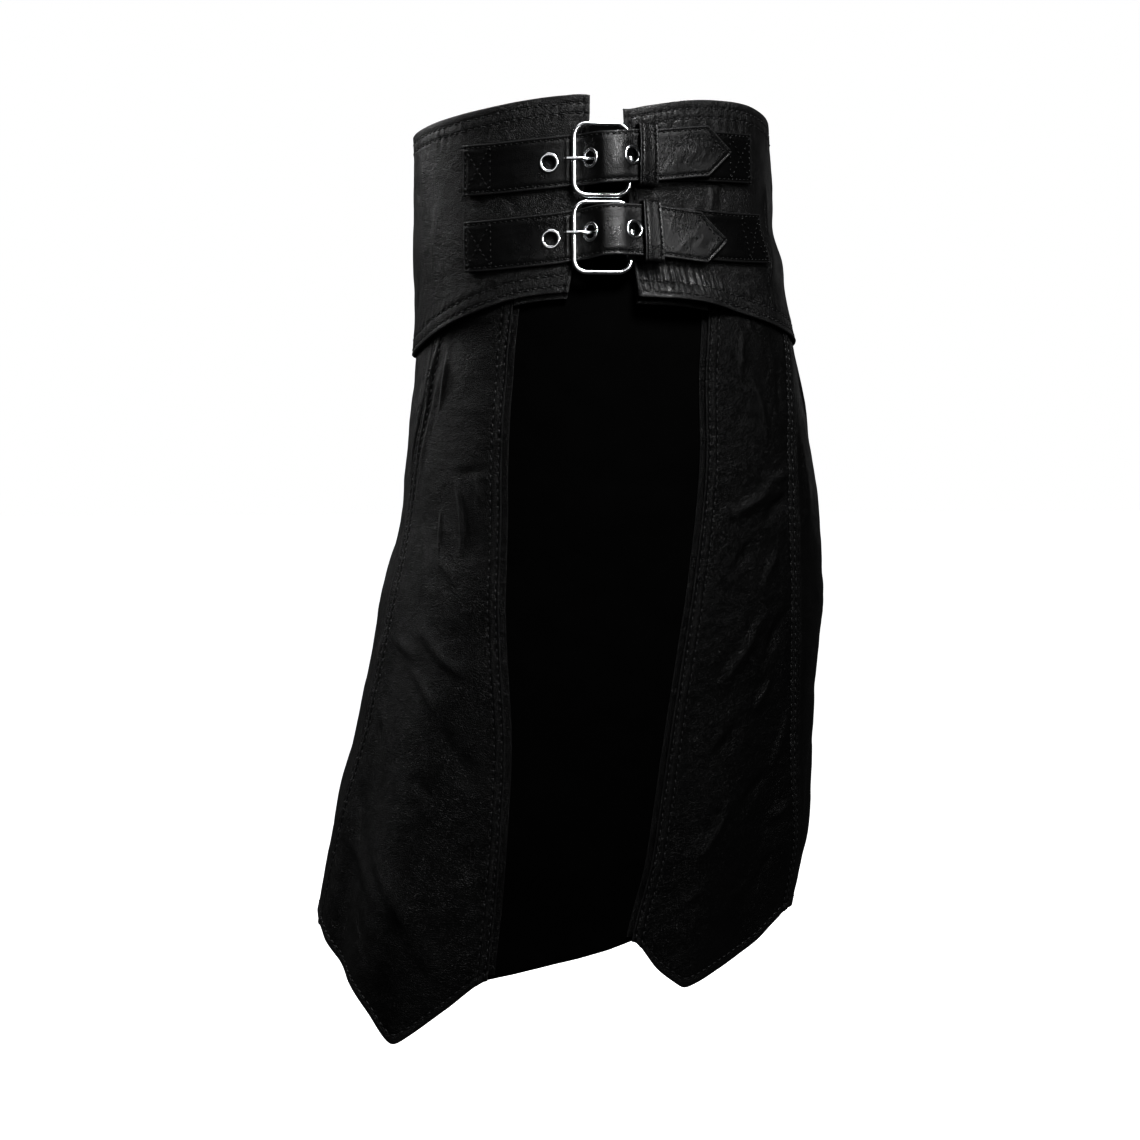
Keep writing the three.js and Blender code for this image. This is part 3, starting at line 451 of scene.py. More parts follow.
# Puckers that the thread draws beside a row: how far they reach, how tall and how close
PUCKER_HILLS = 21
PUCKER_UNEVENNESS = 1.4
PUCKER_LEAST = 0.6
PUCKER_HEIGHT_HILLS = 1.7
PUCKER_SEED = 7
PUCKERS = table("distance reach depth spacing", [
    (15.0, 6.5, 0.13, 9.0),
    (10.0, 4.0, 0.07, 4.7),
])
YOKE_PUCKER_ANGLES = (7.5, 33)
YOKE_PUCKER_HEIGHT = 15
YOKE_PUCKER_REACH = 6.5
YOKE_PUCKER_DEPTH = 1.0
YOKE_PUCKER_SPACING = 3.7
YOKE_PUCKER_HILLS = 9
YOKE_PUCKER_UNEVENNESS = 0.7
YOKE_PUCKER_LEAST = 0.65
YOKE_PUCKER_HEIGHT_HILLS = 2.3
YOKE_PUCKER_SEEDS = (11, 12)
YOKE_PUCKER_START = (-2, 1)
YOKE_PUCKER_END = (8, -8)
YOKE_FLARE = 8
YOKE_FLARE_HEIGHT = 25
YOKE_PUCKER = 2.4
YOKE_CROWD = 0.75
YOKE_DEGREE_LENGTH = 2.1

# Thread: its stitches' spacing, and one stitch's form along its length
STITCH_PITCH = 5.9
STRAP_STITCH_PITCH = 4.2
THREAD_RADIUS = 0.5
THREAD_SIDES = 6
STITCH_SHARES = np.array([-0.33, -0.2, 0.0, 0.2, 0.33])
STITCH_RISE = np.array([-0.5, 0.2, 0.38, 0.2, -0.5])
STITCH_THIN = np.array([0.45, 0.95, 1.0, 0.95, 0.45])

# The straps' rows, ends, small creases and holes
BOX_STITCH_LENGTH = 23
BOX_LINE_STOPS = 12
STRAP_ROW_STOPS = 60
TAPER_STOPS = 20
TIP_TRIM_SHARE = 2.4
STRAP_DEGREE_LENGTH = 2.0
CUTTER_DEPTH_SHARE = 4
CUTTER_SIDES = 40
CHAPE_START_ANGLE = 1.2
CHAPE_ROW_TRIM = 8.0

# Where the meshes have lines beside the edges and the rows, and how rows are trimmed and sampled
RIM_SHARES = (0, 0.15, 0.5, 1)
RIM_CLEARANCE = 1.3
ROW_OFFSETS = (-1.5, -0.7, 0, 0.7, 1.5)
LAST_OFFSET = 1.6
ROW_CLEARANCE = 1.5
PLAIN_TRIM = 1.0
ROW_STOPS = 90
FINE_SHARE = 8
STITCH_JITTER = 0.03
JITTER_SEED = 3

# How finely pieces are measured, and how much of a narrow piece its edges' lines may take
DEGREE = math.pi / 180
SETTLE_ROUNDS = 6
MEASURE_STOPS = np.linspace(0, 1, 61)
PROBE = 0.0015
MOST_EDGE_SHARE = 0.45

# The lines of each kind of mesh between its edges: across and down
MESH_LINES = {
    "front": (74, 176), "panel": (62, 140), "yoke": (500, 58), "yoke_facing": (50, 18),
    "edge_facing": (12, 150), "underlay": (46, 130), "strap": (200, 20), "chape": (96, 18),
    "keeper": (168, 12),
}
LEVELS = ("upper", "lower")

# How finely the round parts are made, and how full their curves are
CHROME_SIDES = 28
OFF_LINE = np.array([0.01, 0.02, 0.03])
ROUND_STEPS = 48
BAND_STEPS = 20
BAND_WALL_POWER = 0.7
BAND_LENGTH_POWER = 0.6
PRONG_STOPS = 70
PRONG_TAPER_START = 1 / 11
PRONG_ROUND_START = 0.955
PRONG_END_SHARE = 0.02
EYE_TURNS = (0.12, 1.88)
EYE_STEPS = 40
EYE_BEVEL = 0.5
EYE_TAIL = 5.5
KEEPER_LEAST_SIDE = 0.1
BUCKLE_CORNER_STEPS = 13
BUCKLE_LINE_STEPS = 9
EYELET_RIM_STEPS = 15
EYELET_RIM_POWER = 0.9
EYELET_SKIRT = 0.35


def mix(start, end, share):
    return start + (end - start) * share


def smooth_step(start, end, value):
    """A smooth rise from 0 at the start to 1 at the end, whichever of them is larger."""
    share = np.clip((value - start) / (end - start), 0, 1)
    return share * share * (3 - 2 * share)


def within(limits, margin, value):
    """1 between two limits, falling smoothly to 0 over a margin outside them."""
    low, high = limits
    return smooth_step(low - margin, low, value) * smooth_step(high + margin, high, value)


def read(rows, place_column, place, value_column):
    """A smooth curve through one column of a table, read at places in another column."""
    places = rows[place_column]
    values = rows[value_column]
    if places[0] > places[-1]:
        places = places[::-1]
        values = values[::-1]
    knots = np.arange(len(places))
    before = np.maximum(knots - 1, 0)
    after = np.minimum(knots + 1, knots[-1])
    slopes = (values[after] - values[before]) / (places[after] - places[before])
    at = np.clip(place, places[0], places[-1])
    row = np.clip(np.searchsorted(places, at) - 1, 0, len(places) - 2)
    span = places[row + 1] - places[row]
    share = (at - places[row]) / span
    square = share * share
    cube = square * share
    return ((2 * cube - 3 * square + 1) * values[row]
            + (cube - 2 * square + share) * span * slopes[row]
            + (3 * square - 2 * cube) * values[row + 1]
            + (cube - square) * span * slopes[row + 1])


def rows_of(rows):
    """The rows of a table, each as its named values."""
    columns = list(rows)
    return [dict(zip(columns, values)) for values in zip(*(rows[column] for column in columns))]


def wrapped(angle):
    """Angles are counted from the front, towards the viewer's right, from -180 to 180."""
    return (angle + 180) % 360 - 180


def form_point(angle, height, out):
    """A point of the kilt's form, moved out of it along the level normal."""
    angle, height, out = np.broadcast_arrays(angle, height, out)
    turn = wrapped(angle)
    side_widths = (read(FORM, "height", height, "left"), read(FORM, "height", height, "right"))
    width = np.where(turn < 0, *side_widths)
    front = mix(
        read(FORM, "height", height, "front_left"),
        read(FORM, "height", height, "front_right"),
        smooth_step(-FRONT_BLEND_ANGLE, FRONT_BLEND_ANGLE, turn),
    )
    depth = np.where(np.abs(turn) < 90, front, read(FORM, "height", height, "back"))
    sine = np.sin(turn * DEGREE)
    cosine = np.cos(turn * DEGREE)
    normal_x = sine / width
    normal_y = -cosine / depth
    length = np.hypot(normal_x, normal_y)
    reach = out + fold_depth(turn, height)
    x = width * sine + reach * normal_x / length
    y = -depth * cosine + reach * normal_y / length
    return np.stack([x, y, height.astype(float)], axis=-1)


def fold_depth(angle, height):
    total = 0
    for fold in rows_of(FOLDS):
        growth = smooth_step(fold["top_height"], FOLD_FULL_HEIGHT, height)
        middle = mix(fold["top_angle"], fold["hem_angle"], growth)
        total = total + fold["depth"] * growth * np.exp(-(wrapped(angle - middle) / fold["width"]) ** 2)
    return total


LATTICE_TURNS = (127.1, 311.7, 74.7, 53.3)
LATTICE_SCALE = 43758.5453


def lattice(x, y, z, seed):
    """A repeatable value from -1 to 1 for each whole-number place."""
    turn_x, turn_y, turn_z, turn_seed = LATTICE_TURNS
    value = np.sin(x * turn_x + y * turn_y + z * turn_z + seed * turn_seed) * LATTICE_SCALE
    return 2 * (value - np.floor(value)) - 1


def wander(points, seed):
    """Smooth uneven noise from about -1 to 1, with hills one unit across."""
    low = np.floor(points)
    share = points - low
    share = share * share * share * (share * (share * 6 - 15) + 10)
    total = 0
    for corner in np.ndindex(2, 2, 2):
        weight = 1
        for axis in range(3):
            weight = weight * (share[..., axis] if corner[axis] else 1 - share[..., axis])
        place = low + np.array(corner)
        total = total + weight * lattice(place[..., 0], place[..., 1], place[..., 2], seed)
    return total


def uneven(least, places, seed):
    """A strength of about the least, and up to 1."""
    return least + (1 - least) * wander(places, seed)


def crease_depth(creases, angle, height, degree_length):
    """The sum of soft troughs and ridges, each with a steep side and a gentle one."""
    total = 0
    for crease in creases:
        beside = wrapped(angle - crease["angle"]) * degree_length
        above = height - crease["height"]
        lean = crease["tilt"] * DEGREE
        share = (beside * math.sin(lean) + above * math.cos(lean)) / (crease["length"] / 2)
        taper = np.clip(1 - share * share, 0, 1)
        across = beside * math.cos(lean) - above * math.sin(lean) - crease.get("bend", 0) * taper
        side = np.where(across > 0, CREASE_GENTLE_SIDE, CREASE_STEEP_SIDE)
        total = total + crease["depth"] * taper**2 * np.exp(-(across / (crease["width"] * side)) ** 2)
    return total


def body_relief(angle, height):
    """How far the leather stands off the plain form, for all the layers at once."""
    turn = wrapped(np.asarray(angle, dtype=float))
    base = form_point(turn, height, 0)
    step = np.linalg.norm(form_point(turn + 1, height, 0) - base, axis=-1)
    total = CREASE_STRENGTH * crease_depth(rows_of(CREASES), turn, height, step)
    share = mix(1, YOKE_SWELL_SHARE, smooth_step(*SWELL_CHANGE_HEIGHTS, height))
    for seed, swell in enumerate(rows_of(SWELLS)):
        total = total + share * swell["depth"] * wander(base / swell["size"], seed)
    inside = (within(HARDWARE_ANGLES, HARDWARE_MARGIN_ANGLE, turn)
              * within(HARDWARE_HEIGHTS, HARDWARE_MARGIN_HEIGHT, height))
    return total * (1 - inside)


def edge_relief(kind, distance):
    total = 0
    for band in rows_of(EDGE_RELIEF[kind]):
        total = total + band["depth"] * np.exp(-((distance - band["distance"]) / band["width"]) ** 2)
    return total


def hills(along, row=0.5):
    """Places for uneven noise that runs along a line."""
    return np.stack([along, np.full_like(along, row), np.full_like(along, 0.5)], axis=-1)


def pucker_relief(along, distance, seed):
    """Short uneven puckers across an edge, by the distance along it and from it."""
    total = 0
    for offset, pucker in enumerate(rows_of(PUCKERS)):
        line = hills(along / PUCKER_HILLS, offset + 0.5)
        phase = along / pucker["spacing"] + PUCKER_UNEVENNESS * wander(line, seed)
        height = uneven(PUCKER_LEAST, line * PUCKER_HEIGHT_HILLS, seed + PUCKER_SEED)
        reach = np.exp(-((distance - pucker["distance"]) / pucker["reach"]) ** 2)
        total = total + pucker["depth"] * height * reach * np.sin(2 * math.pi * phase)
    return total


class Cloth:
    """One cut piece of leather: where it lies, its thickness and what its edges do to it.

    place(across, down) gives the outer face's angle, height and distance outside the form.
    edges names the kinds of the start, end, top and hem edges.
    """

    def __init__(self, name, place, thickness, edges, pucker=0, extra=None, follow=body_relief, crowd=0):
        self.name = name
        self.place = place
        self.thickness = thickness
        self.edges = edges
        self.pucker = pucker
        self.extra = extra
        self.follow = follow
        self.crowd = crowd
        grid = form_point(*place(MEASURE_STOPS[:, None], MEASURE_STOPS[None, :]))
        self.widths = np.linalg.norm(np.diff(grid, axis=0), axis=-1).sum(axis=0)
        self.lengths = np.linalg.norm(np.diff(grid, axis=1), axis=-1).sum(axis=1)

    def distances(self, across, down):
        """Millimetres from the start, the end, the top and the hem."""
        width = np.interp(down, MEASURE_STOPS, self.widths)
        length = np.interp(across, MEASURE_STOPS, self.lengths)
        return across * width, (1 - across) * width, down * length, (1 - down) * length

    def surface(self, across, down):
        """Points of the outer face."""
        across, down = np.broadcast_arrays(np.asarray(across, float), np.asarray(down, float))
        angle, height, out = self.place(across, down)
        relief = self.follow(angle, height)
        distances = self.distances(across, down)
        for side, (kind, distance) in enumerate(zip(self.edges, distances)):
            if kind:
                relief = relief + edge_relief(kind, distance)
            if kind == "lapped":
                relief = relief - LAP_DEPTH * smooth_step(*LAP_SLOPE, distance)
            if kind and self.pucker:
                along = distances[2] if side < 2 else distances[0]
                relief = relief + self.pucker * pucker_relief(along, distance, side)
        if self.extra:
            relief = relief + self.extra(angle, height)
        return form_point(angle, height, out + relief)

    def normal(self, across, down):
        beside = self.surface(across + PROBE, down) - self.surface(across - PROBE, down)
        above = self.surface(across, down - PROBE) - self.surface(across, down + PROBE)
        return unit(np.cross(beside, above))

    def flat_size(self):
        """The piece's cut: its widest and longest, in metres, and its flat area."""
        width = self.widths.max() * MM
        length = self.lengths.max() * MM
        area = min(self.widths.mean() * self.lengths.mean() * MM * MM, width * length)
        return (float(width), float(length)), float(area)


def unit(vectors):
    return vectors / np.linalg.norm(vectors, axis=-1, keepdims=True)


def full_circle(steps):
    """Angles evenly round a circle."""
    return np.linspace(0, 2 * math.pi, steps, endpoint=False)


def swept(section, turns):
    """Rings from a section of radii and heights, turned about the third axis."""
    radius, height = section.T
    height = np.broadcast_to(height, (len(turns), len(section)))
    return np.stack([np.cos(turns)[:, None] * radius, np.sin(turns)[:, None] * radius, height], axis=-1)


def make_mesh(name, points, quads, materials, slots=None):
    """An object from points in millimetres and faces of four corners."""
    mesh = bpy.data.meshes.new(name)
    points = np.asarray(points, dtype=np.float64).reshape(-1, 3) * MM
    quads = np.asarray(quads, dtype=np.int32).reshape(-1, 4)
    mesh.vertices.add(len(points))
    mesh.vertices.foreach_set("co", points.ravel())
    mesh.loops.add(quads.size)
    mesh.loops.foreach_set("vertex_index", quads.ravel())
    mesh.polygons.add(len(quads))
    mesh.polygons.foreach_set("loop_start", np.arange(len(quads), dtype=np.int32) * 4)
    mesh.polygons.foreach_set("use_smooth", np.ones(len(quads), dtype=bool))
    for material in materials:
        mesh.materials.append(material)
    if slots is not None:
        mesh.polygons.foreach_set("material_index", np.asarray(slots, dtype=np.int32))
    mesh.update(calc_edges=True)
    mesh.validate()
    piece = bpy.data.objects.new(name, mesh)
    bpy.context.scene.collection.objects.link(piece)
    return piece


def edge_stops(kind, radius):
    """Distances from an edge where the mesh has a line: its round rim, then beside each row."""
    rim = [share * radius for share in RIM_SHARES]
    beside = [row + offset for row in STITCH_ROWS.get(kind, ()) for offset in ROW_OFFSETS]
    if beside:
        beside.append(beside[-1] + LAST_OFFSET)
    return np.array(sorted(set(rim) | {stop for stop in beside if stop > radius * RIM_CLEARANCE}))


def lined_stops(start, end, total, count, crowd=0):
    """Shares of a length with lines near both edges and others between, even or crowded to the ends."""
    total = np.asarray(total, dtype=float)
    first = start[:, None] / np.maximum(total, start[-1] / MOST_EDGE_SHARE)
    last = 1 - end[::-1, None] / np.maximum(total, end[-1] / MOST_EDGE_SHARE)
    even = np.linspace(0, 1, count + 2)[1:-1, None]
    even = even - crowd * np.sin(2 * math.pi * even) / (2 * math.pi)
    return np.concatenate([first, mix(first[-1:], last[:1], even), last])


def cloth_grid(cloth, columns, rows):
    """Where the mesh's points lie on a piece, as shares across and down it."""
    radius = cloth.thickness / 2
    start, end, top, hem = (edge_stops(kind, radius) for kind in cloth.edges)
    down_middle = lined_stops(top, hem, cloth.lengths.mean(), rows)[:, 0]
    widths = np.interp(down_middle, MEASURE_STOPS, cloth.widths)
    across = lined_stops(start, end, widths, columns, cloth.crowd)
    middle = across[:, across.shape[1] // 2]
    lengths = np.interp(middle, MEASURE_STOPS, cloth.lengths)
    down = lined_stops(top, hem, lengths, rows).T
    return across, down


def grid_quads(index):
    """The faces between the points of a grid of point numbers, facing out."""
    corners = [index[:-1, :-1], index[:-1, 1:], index[1:, 1:], index[1:, :-1]]
    return np.stack(corners, axis=-1).reshape(-1, 4)


def numbered(rows, columns):
    """The point numbers of a grid."""
    return np.arange(rows * columns).reshape(rows, columns)


def closed_round(index, both=False):
    """A grid of point numbers with its first column again at the end, or its first row too."""
    index = np.concatenate([index, index[:, :1]], axis=1)
    return np.concatenate([index, index[:1]]) if both else index


def shell(cloth, columns, rows, materials, closed=False):
    """A closed thin shell of a piece, with round rims. A closed one runs round to its start."""
    across, down = cloth_grid(cloth, columns, rows)
    if closed:
        across = np.repeat(np.linspace(0, 1, columns, endpoint=False)[:, None], down.shape[1], axis=1)
        down = np.repeat(down[:1], columns, axis=0)
    outer_face = cloth.surface(across, down)
    if closed:
        padded = np.concatenate([outer_face[-1:], outer_face, outer_face[:1]])
        beside = padded[2:] - padded[:-2]
    else:
        beside = np.gradient(outer_face, axis=0)
    normal = unit(np.cross(beside, -np.gradient(outer_face, axis=1)))
    start, end, top, hem = cloth.distances(across, down)
    inset = np.minimum(top, hem)
    if not closed:
        inset = np.minimum(inset, np.minimum(start, end))
    radius = cloth.thickness / 2
    near = 1 - np.clip(inset / radius, 0, 1)
    half = radius * np.sqrt(np.clip(1 - near * near, 0, 1))[..., None]
    middle = outer_face - normal * radius
    outer_index = numbered(*middle.shape[:2])
    inner_index = outer_index + outer_index.size
    rim = np.zeros(middle.shape[:2], dtype=bool)
    rim[:, [0, -1]] = True
    if not closed:
        rim[[0, -1], :] = True
    inner_index = np.where(rim, outer_index, inner_index)
    points = np.concatenate([middle + normal * half, middle - normal * half]).reshape(-1, 3)
    if closed:
        outer_index = np.concatenate([outer_index, outer_index[:1]])
        inner_index = np.concatenate([inner_index, inner_index[:1]])
    outer_quads = grid_quads(outer_index)
    inner_quads = grid_quads(inner_index)[:, ::-1]
    used, numbers = np.unique(np.concatenate([outer_quads, inner_quads]), return_inverse=True)
    slots = np.repeat([0, 1], [len(outer_quads), len(inner_quads)])
    return make_mesh("leather_" + cloth.name, points[used], numbers.reshape(-1, 4), materials, slots)


class Thread:
    """Stitches collected for one piece, then made as one mesh."""

    def __init__(self, cloth):
        self.cloth = cloth
        self.parts = []

    def row(self, across, down, pitch):
        """Stitches along a line over the piece, given as shares across and down it."""
        across, down = np.broadcast_arrays(np.asarray(across, float), np.asarray(down, float))
        fine = np.linspace(0, len(across) - 1, len(across) * FINE_SHARE)
        corners = np.arange(len(across))
        across = np.interp(fine, corners, across)
        down = np.interp(fine, corners, down)
        steps = np.linalg.norm(np.diff(self.cloth.surface(across, down), axis=0), axis=-1)
        run = np.concatenate([[0], np.cumsum(steps)])
        count = max(1, round(run[-1] / pitch))
        middles = (np.arange(count) + 0.5) * run[-1] / count
        jitter = lattice(middles, run[-1], 0, JITTER_SEED) * STITCH_JITTER * pitch
        places = middles[:, None] + jitter[:, None] + STITCH_SHARES * run[-1] / count
        across = np.interp(places, run, across)
        down = np.interp(places, run, down)
        middle = len(STITCH_SHARES) // 2
        normal = self.cloth.normal(across[:, middle], down[:, middle])[:, None, :]
        spine = self.cloth.surface(across, down) + normal * STITCH_RISE[:, None]
        tangent = unit(spine[:, -1:] - spine[:, :1])
        side = np.cross(tangent, normal)
        turn = np.arange(THREAD_SIDES) * 2 * math.pi / THREAD_SIDES
        ring = (np.cos(turn)[:, None] * side[:, :, None] + np.sin(turn)[:, None] * normal[:, :, None])
        points = spine[:, :, None] + ring * THREAD_RADIUS * STITCH_THIN[:, None, None]
        self.parts.append(points.reshape(-1, 3))

    def make(self, material):
        points = np.concatenate(self.parts)
        rings = len(STITCH_SHARES)
        one = numbered(rings, THREAD_SIDES)
        wall = grid_quads(closed_round(one))
        caps = np.array([one[0][[0, 1, 2, 3]], one[0][[0, 3, 4, 5]],
                         one[-1][[3, 2, 1, 0]], one[-1][[5, 4, 3, 0]]])
        quads = np.concatenate([wall[:, ::-1], caps])
        starts = np.arange(len(points) // one.size)[:, None, None] * one.size
        return make_mesh("thread_" + self.cloth.name, points, quads + starts, [material])


def edge_row(cloth, edge, distance, trims=(0, 0)):
    """A line at a distance from an edge, trimmed in millimetres at its two ends."""
    along = np.linspace(0, 1, ROW_STOPS)
    sideways = edge in ("start", "end")
    ran, crossed = (cloth.lengths, cloth.widths) if sideways else (cloth.widths, cloth.lengths)
    line = mix(trims[0] / ran.mean(), 1 - trims[1] / ran.mean(), along)
    share = distance / np.interp(line, MEASURE_STOPS, crossed)
    if edge in ("end", "hem"):
        share = 1 - share
    return (share, line) if sideways else (line, share)


# Materials


class Nodes:
    """A material's node tree, with short ways to add and join nodes."""

    def __init__(self, name):
        self.material = bpy.data.materials.new(name)
        self.material.use_nodes = True
        self.tree = self.material.node_tree
        self.shader = self.tree.nodes["Principled BSDF"]

    def add(self, kind, settings=None, **inputs):
        node = self.tree.nodes.new(kind)
        for name, value in (settings or {}).items():
            setattr(node, name, value)
        for name, value in inputs.items():
            self.put(node.inputs[name.replace("_", " ")], value)
        return node

    def put(self, socket, value):
        if isinstance(value, bpy.types.NodeSocket):
            self.tree.links.new(value, socket)
        else:
            socket.default_value = value

    def place(self):
        return self.add("ShaderNodeTexCoord").outputs["Object"]

    def noise(self, place, scale, detail=2.0, roughness=0.5):
        node = self.add("ShaderNodeTexNoise", Vector=place, Scale=scale, Detail=detail, Roughness=roughness)
        return node.outputs["Fac"]

    def fit(self, value, span, reach=(0.0, 1.0)):
        """A value mapped from a span to a reach, and held within it."""
        node = self.add("ShaderNodeMapRange", Value=value)
        for name, number in zip(("From Min", "From Max", "To Min", "To Max"), span + reach):
            node.inputs[name].default_value = number
        return node.outputs["Result"]

    def math(self, operation, first, second):
        node = self.add("ShaderNodeMath", {"operation": operation})
        self.put(node.inputs[0], first)
        self.put(node.inputs[1], second)
        return node.outputs[0]

    def blend(self, share, first, second):
        node = self.add("ShaderNodeMix", {"data_type": "RGBA"})
        self.put(node.inputs[0], share)
        self.put(node.inputs[6], first)
        self.put(node.inputs[7], second)
        return node.outputs[2]

    def bump(self, height, distance, strength, below=None):
        node = self.add("ShaderNodeBump", Height=height, Distance=distance, Strength=strength)
        if below is not None:
            self.put(node.inputs["Normal"], below)
        return node.outputs["Normal"]

    def finish(self, **inputs):
        for name, value in inputs.items():
            self.put(self.shader.inputs[name.replace("_", " ")], value)
        return self.material


def grey(value, blue=1.0):
    """A grey with its blue scaled."""
    return (value, value, value * blue, 1)


# The middle part of a noise's range, and how far the pointed ridges of the folds are worn
MIDDLE = (0.3, 0.7)
NARROW_MIDDLE = (0.35, 0.65)
GRAIN_EDGE = (0.0, 0.16)
WORN_RIDGES = (0.515, 0.58)
WORN_SHARE = 0.7
WORN_COLOUR = (0.06, 0.06, 0.061, 1)
GRAIN_WOBBLE = 0.0011


def leather_material(name, gloss, tone, wrinkling, graining):
    """Fine pebbled grain, small wrinkles, uneven gloss and paler worn ridges."""
    nodes = Nodes(name)
    place = nodes.place()
    wobble = nodes.add("ShaderNodeTexNoise", Vector=place, Scale=420.0, Detail=2.0).outputs["Color"]
    shaken = nodes.add("ShaderNodeVectorMath", {"operation": "MULTIPLY_ADD"})
    nodes.put(shaken.inputs[0], wobble)
    shaken.inputs[1].default_value = (GRAIN_WOBBLE,) * 3
    nodes.put(shaken.inputs[2], place)
    pebble = nodes.add("ShaderNodeTexVoronoi", {"feature": "DISTANCE_TO_EDGE"},
                       Vector=shaken.outputs[0], Scale=760.0)
    grain = nodes.fit(pebble.outputs["Distance"], GRAIN_EDGE)
    patches = nodes.noise(place, scale=22.0, detail=3.0)
    mottle = nodes.noise(place, scale=75.0, detail=4.0, roughness=0.6)
    fine = nodes.noise(place, scale=2600.0, detail=3.0)
    wrinkle = nodes.fit(nodes.noise(place, scale=130.0, detail=3.0, roughness=0.55), NARROW_MIDDLE)
    worn = nodes.fit(nodes.add("ShaderNodeNewGeometry").outputs["Pointiness"], WORN_RIDGES)
    dark = (tone * 0.45, tone * 0.45, tone * 0.48, 1)
    colour = nodes.blend(nodes.fit(mottle, NARROW_MIDDLE), dark, grey(tone, blue=1.06))
    colour = nodes.blend(nodes.math("MULTIPLY", worn, WORN_SHARE), colour, WORN_COLOUR)
    rough = nodes.fit(patches, MIDDLE, reach=(gloss + 0.07, gloss - 0.05))
    rough = nodes.math("ADD", rough, nodes.fit(mottle, MIDDLE, reach=(0.06, -0.05)))
    rough = nodes.math("ADD", rough, nodes.fit(grain, (0.0, 1.0), reach=(0.09, 0.0)))
    folds = nodes.noise(place, scale=55.0, detail=1.5, roughness=0.4)
    bumps = nodes.bump(folds, distance=0.0025, strength=wrinkling)
    bumps = nodes.bump(wrinkle, distance=0.0007, strength=wrinkling, below=bumps)
    bumps = nodes.bump(grain, distance=0.00022, strength=graining, below=bumps)
    bumps = nodes.bump(fine, distance=0.0001, strength=0.5, below=bumps)
    return nodes.finish(Base_Color=colour, Roughness=rough, Normal=bumps, Specular_IOR_Level=0.5)


def flesh_material():
    """The leather's dull fibrous back."""
    nodes = Nodes("leather_back")
    place = nodes.place()
    fibres = nodes.noise(place, scale=900.0, detail=5.0, roughness=0.7)
    colour = nodes.blend(nodes.fit(fibres, MIDDLE), (0.006, 0.006, 0.0065, 1), (0.016, 0.016, 0.017, 1))
    return nodes.finish(Base_Color=colour, Roughness=nodes.fit(fibres, MIDDLE, reach=(0.96, 0.82)),
                        Normal=nodes.bump(fibres, distance=0.0003, strength=0.5), Specular_IOR_Level=0.2)


def shade_black_underlay_material():
    """Plain matt black, finely grained, with almost no sheen: a layer whose near-black colour is painted
    shade, as dark as the shaded opening.
    """
    nodes = Nodes("underlay")
    place = nodes.place()
    grain = nodes.noise(place, scale=1500.0, detail=4.0, roughness=0.6)
    patches = nodes.noise(place, scale=40.0, detail=3.0)
    # Painted shade: near-black colour and little sheen, so the layer reads as the dark of the opening
    colour = nodes.blend(patches, grey(0.003), grey(0.005))
    return nodes.finish(Base_Color=colour, Roughness=nodes.fit(grain, MIDDLE, reach=(0.95, 0.85)),
                        Normal=nodes.bump(grain, distance=0.0001, strength=0.3), Specular_IOR_Level=0.05)


def thread_material(name, tone):
    """Waxed black thread, in a given tone; a paler tone is a painted highlight, the glint of the stitches.
    """
    nodes = Nodes(name)
    place = nodes.place()
    twist = nodes.noise(place, scale=2400.0)
    dark = (tone * 0.3, tone * 0.3, tone * 0.31, 1)
    colour = nodes.blend(twist, dark, grey(tone, blue=1.03))
    return nodes.finish(Base_Color=colour, Roughness=nodes.fit(twist, MIDDLE, reach=(0.42, 0.28)),
                        Normal=nodes.bump(twist, distance=0.0001, strength=0.5), Specular_IOR_Level=0.5)


def chrome_material():
    """Polished plating with faint smears and hairline scratches."""
    nodes = Nodes("chrome")
    place = nodes.place()
    smear = nodes.noise(place, scale=160.0, detail=4.0, roughness=0.6)
    stretched = nodes.add("ShaderNodeMapping", Vector=place)
    stretched.inputs["Scale"].default_value = (300.0, 300.0, 4200.0)
    scratch = nodes.noise(stretched.outputs["Vector"], scale=1.0, detail=3.0)
    rough = nodes.fit(smear, MIDDLE, reach=(0.13, 0.24))
    colour = nodes.blend(smear, (0.74, 0.75, 0.77, 1), (0.86, 0.87, 0.88, 1))
    return nodes.finish(Base_Color=colour, Metallic=1.0, Roughness=rough,
                        Normal=nodes.bump(scratch, distance=0.00002, strength=0.25))


LEATHER = leather_material("leather", gloss=0.36, tone=0.002, wrinkling=0.28, graining=0.8)
SHADED_LEATHER = leather_material("leather_right", gloss=0.36, tone=0.002, wrinkling=0.5, graining=0.8)
STRAP_LEATHER = leather_material("leather_strap", gloss=0.28, tone=0.003, wrinkling=0.06, graining=0.4)
FLESH = flesh_material()
# The underlay's colour is painted shade: near-black and almost without sheen
SHADE_BLACK_UNDERLAY = shade_black_underlay_material()
# The panels' and yoke's thread is painted paler than the straps': a painted highlight, the stitches' glint
GLINT_PALE_THREAD = thread_material("thread", 0.07)
STRAP_THREAD = thread_material("thread_strap", 0.015)
CHROME = chrome_material()


def settle(piece, slot, *nodes):
    """A finished piece rides on the body and stands for its nodes. Its slot is not used."""
    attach(piece, "root")
    if nodes:
        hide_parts(*nodes)


def finish_cloth(cloth, piece, stitches=None, eye=None, slot="leather"):
    """The piece, its stitches and a buckle strap's eye ride the body, and the sheet's cut is measured, but
    not used.
    """
    settle(piece, slot, cloth.name)
    for part, part_slot in ((stitches, "thread"), (eye, "leather")):
        if part:
            settle(part, part_slot)
    flat, area = cloth.flat_size()


# Cut pieces


def edge_of(rows, name):
    """A seam's or an edge's angle, by height."""
    return lambda height: read(rows, "height", height, name)


def steady(value):
    """The same value everywhere."""
    return lambda along: np.full(np.shape(along), float(value))


def from_yoke_bottom(rise):
    """A line that follows the yoke's lower edge, so far above it."""
    return lambda angle: yoke_bottom(angle) + rise


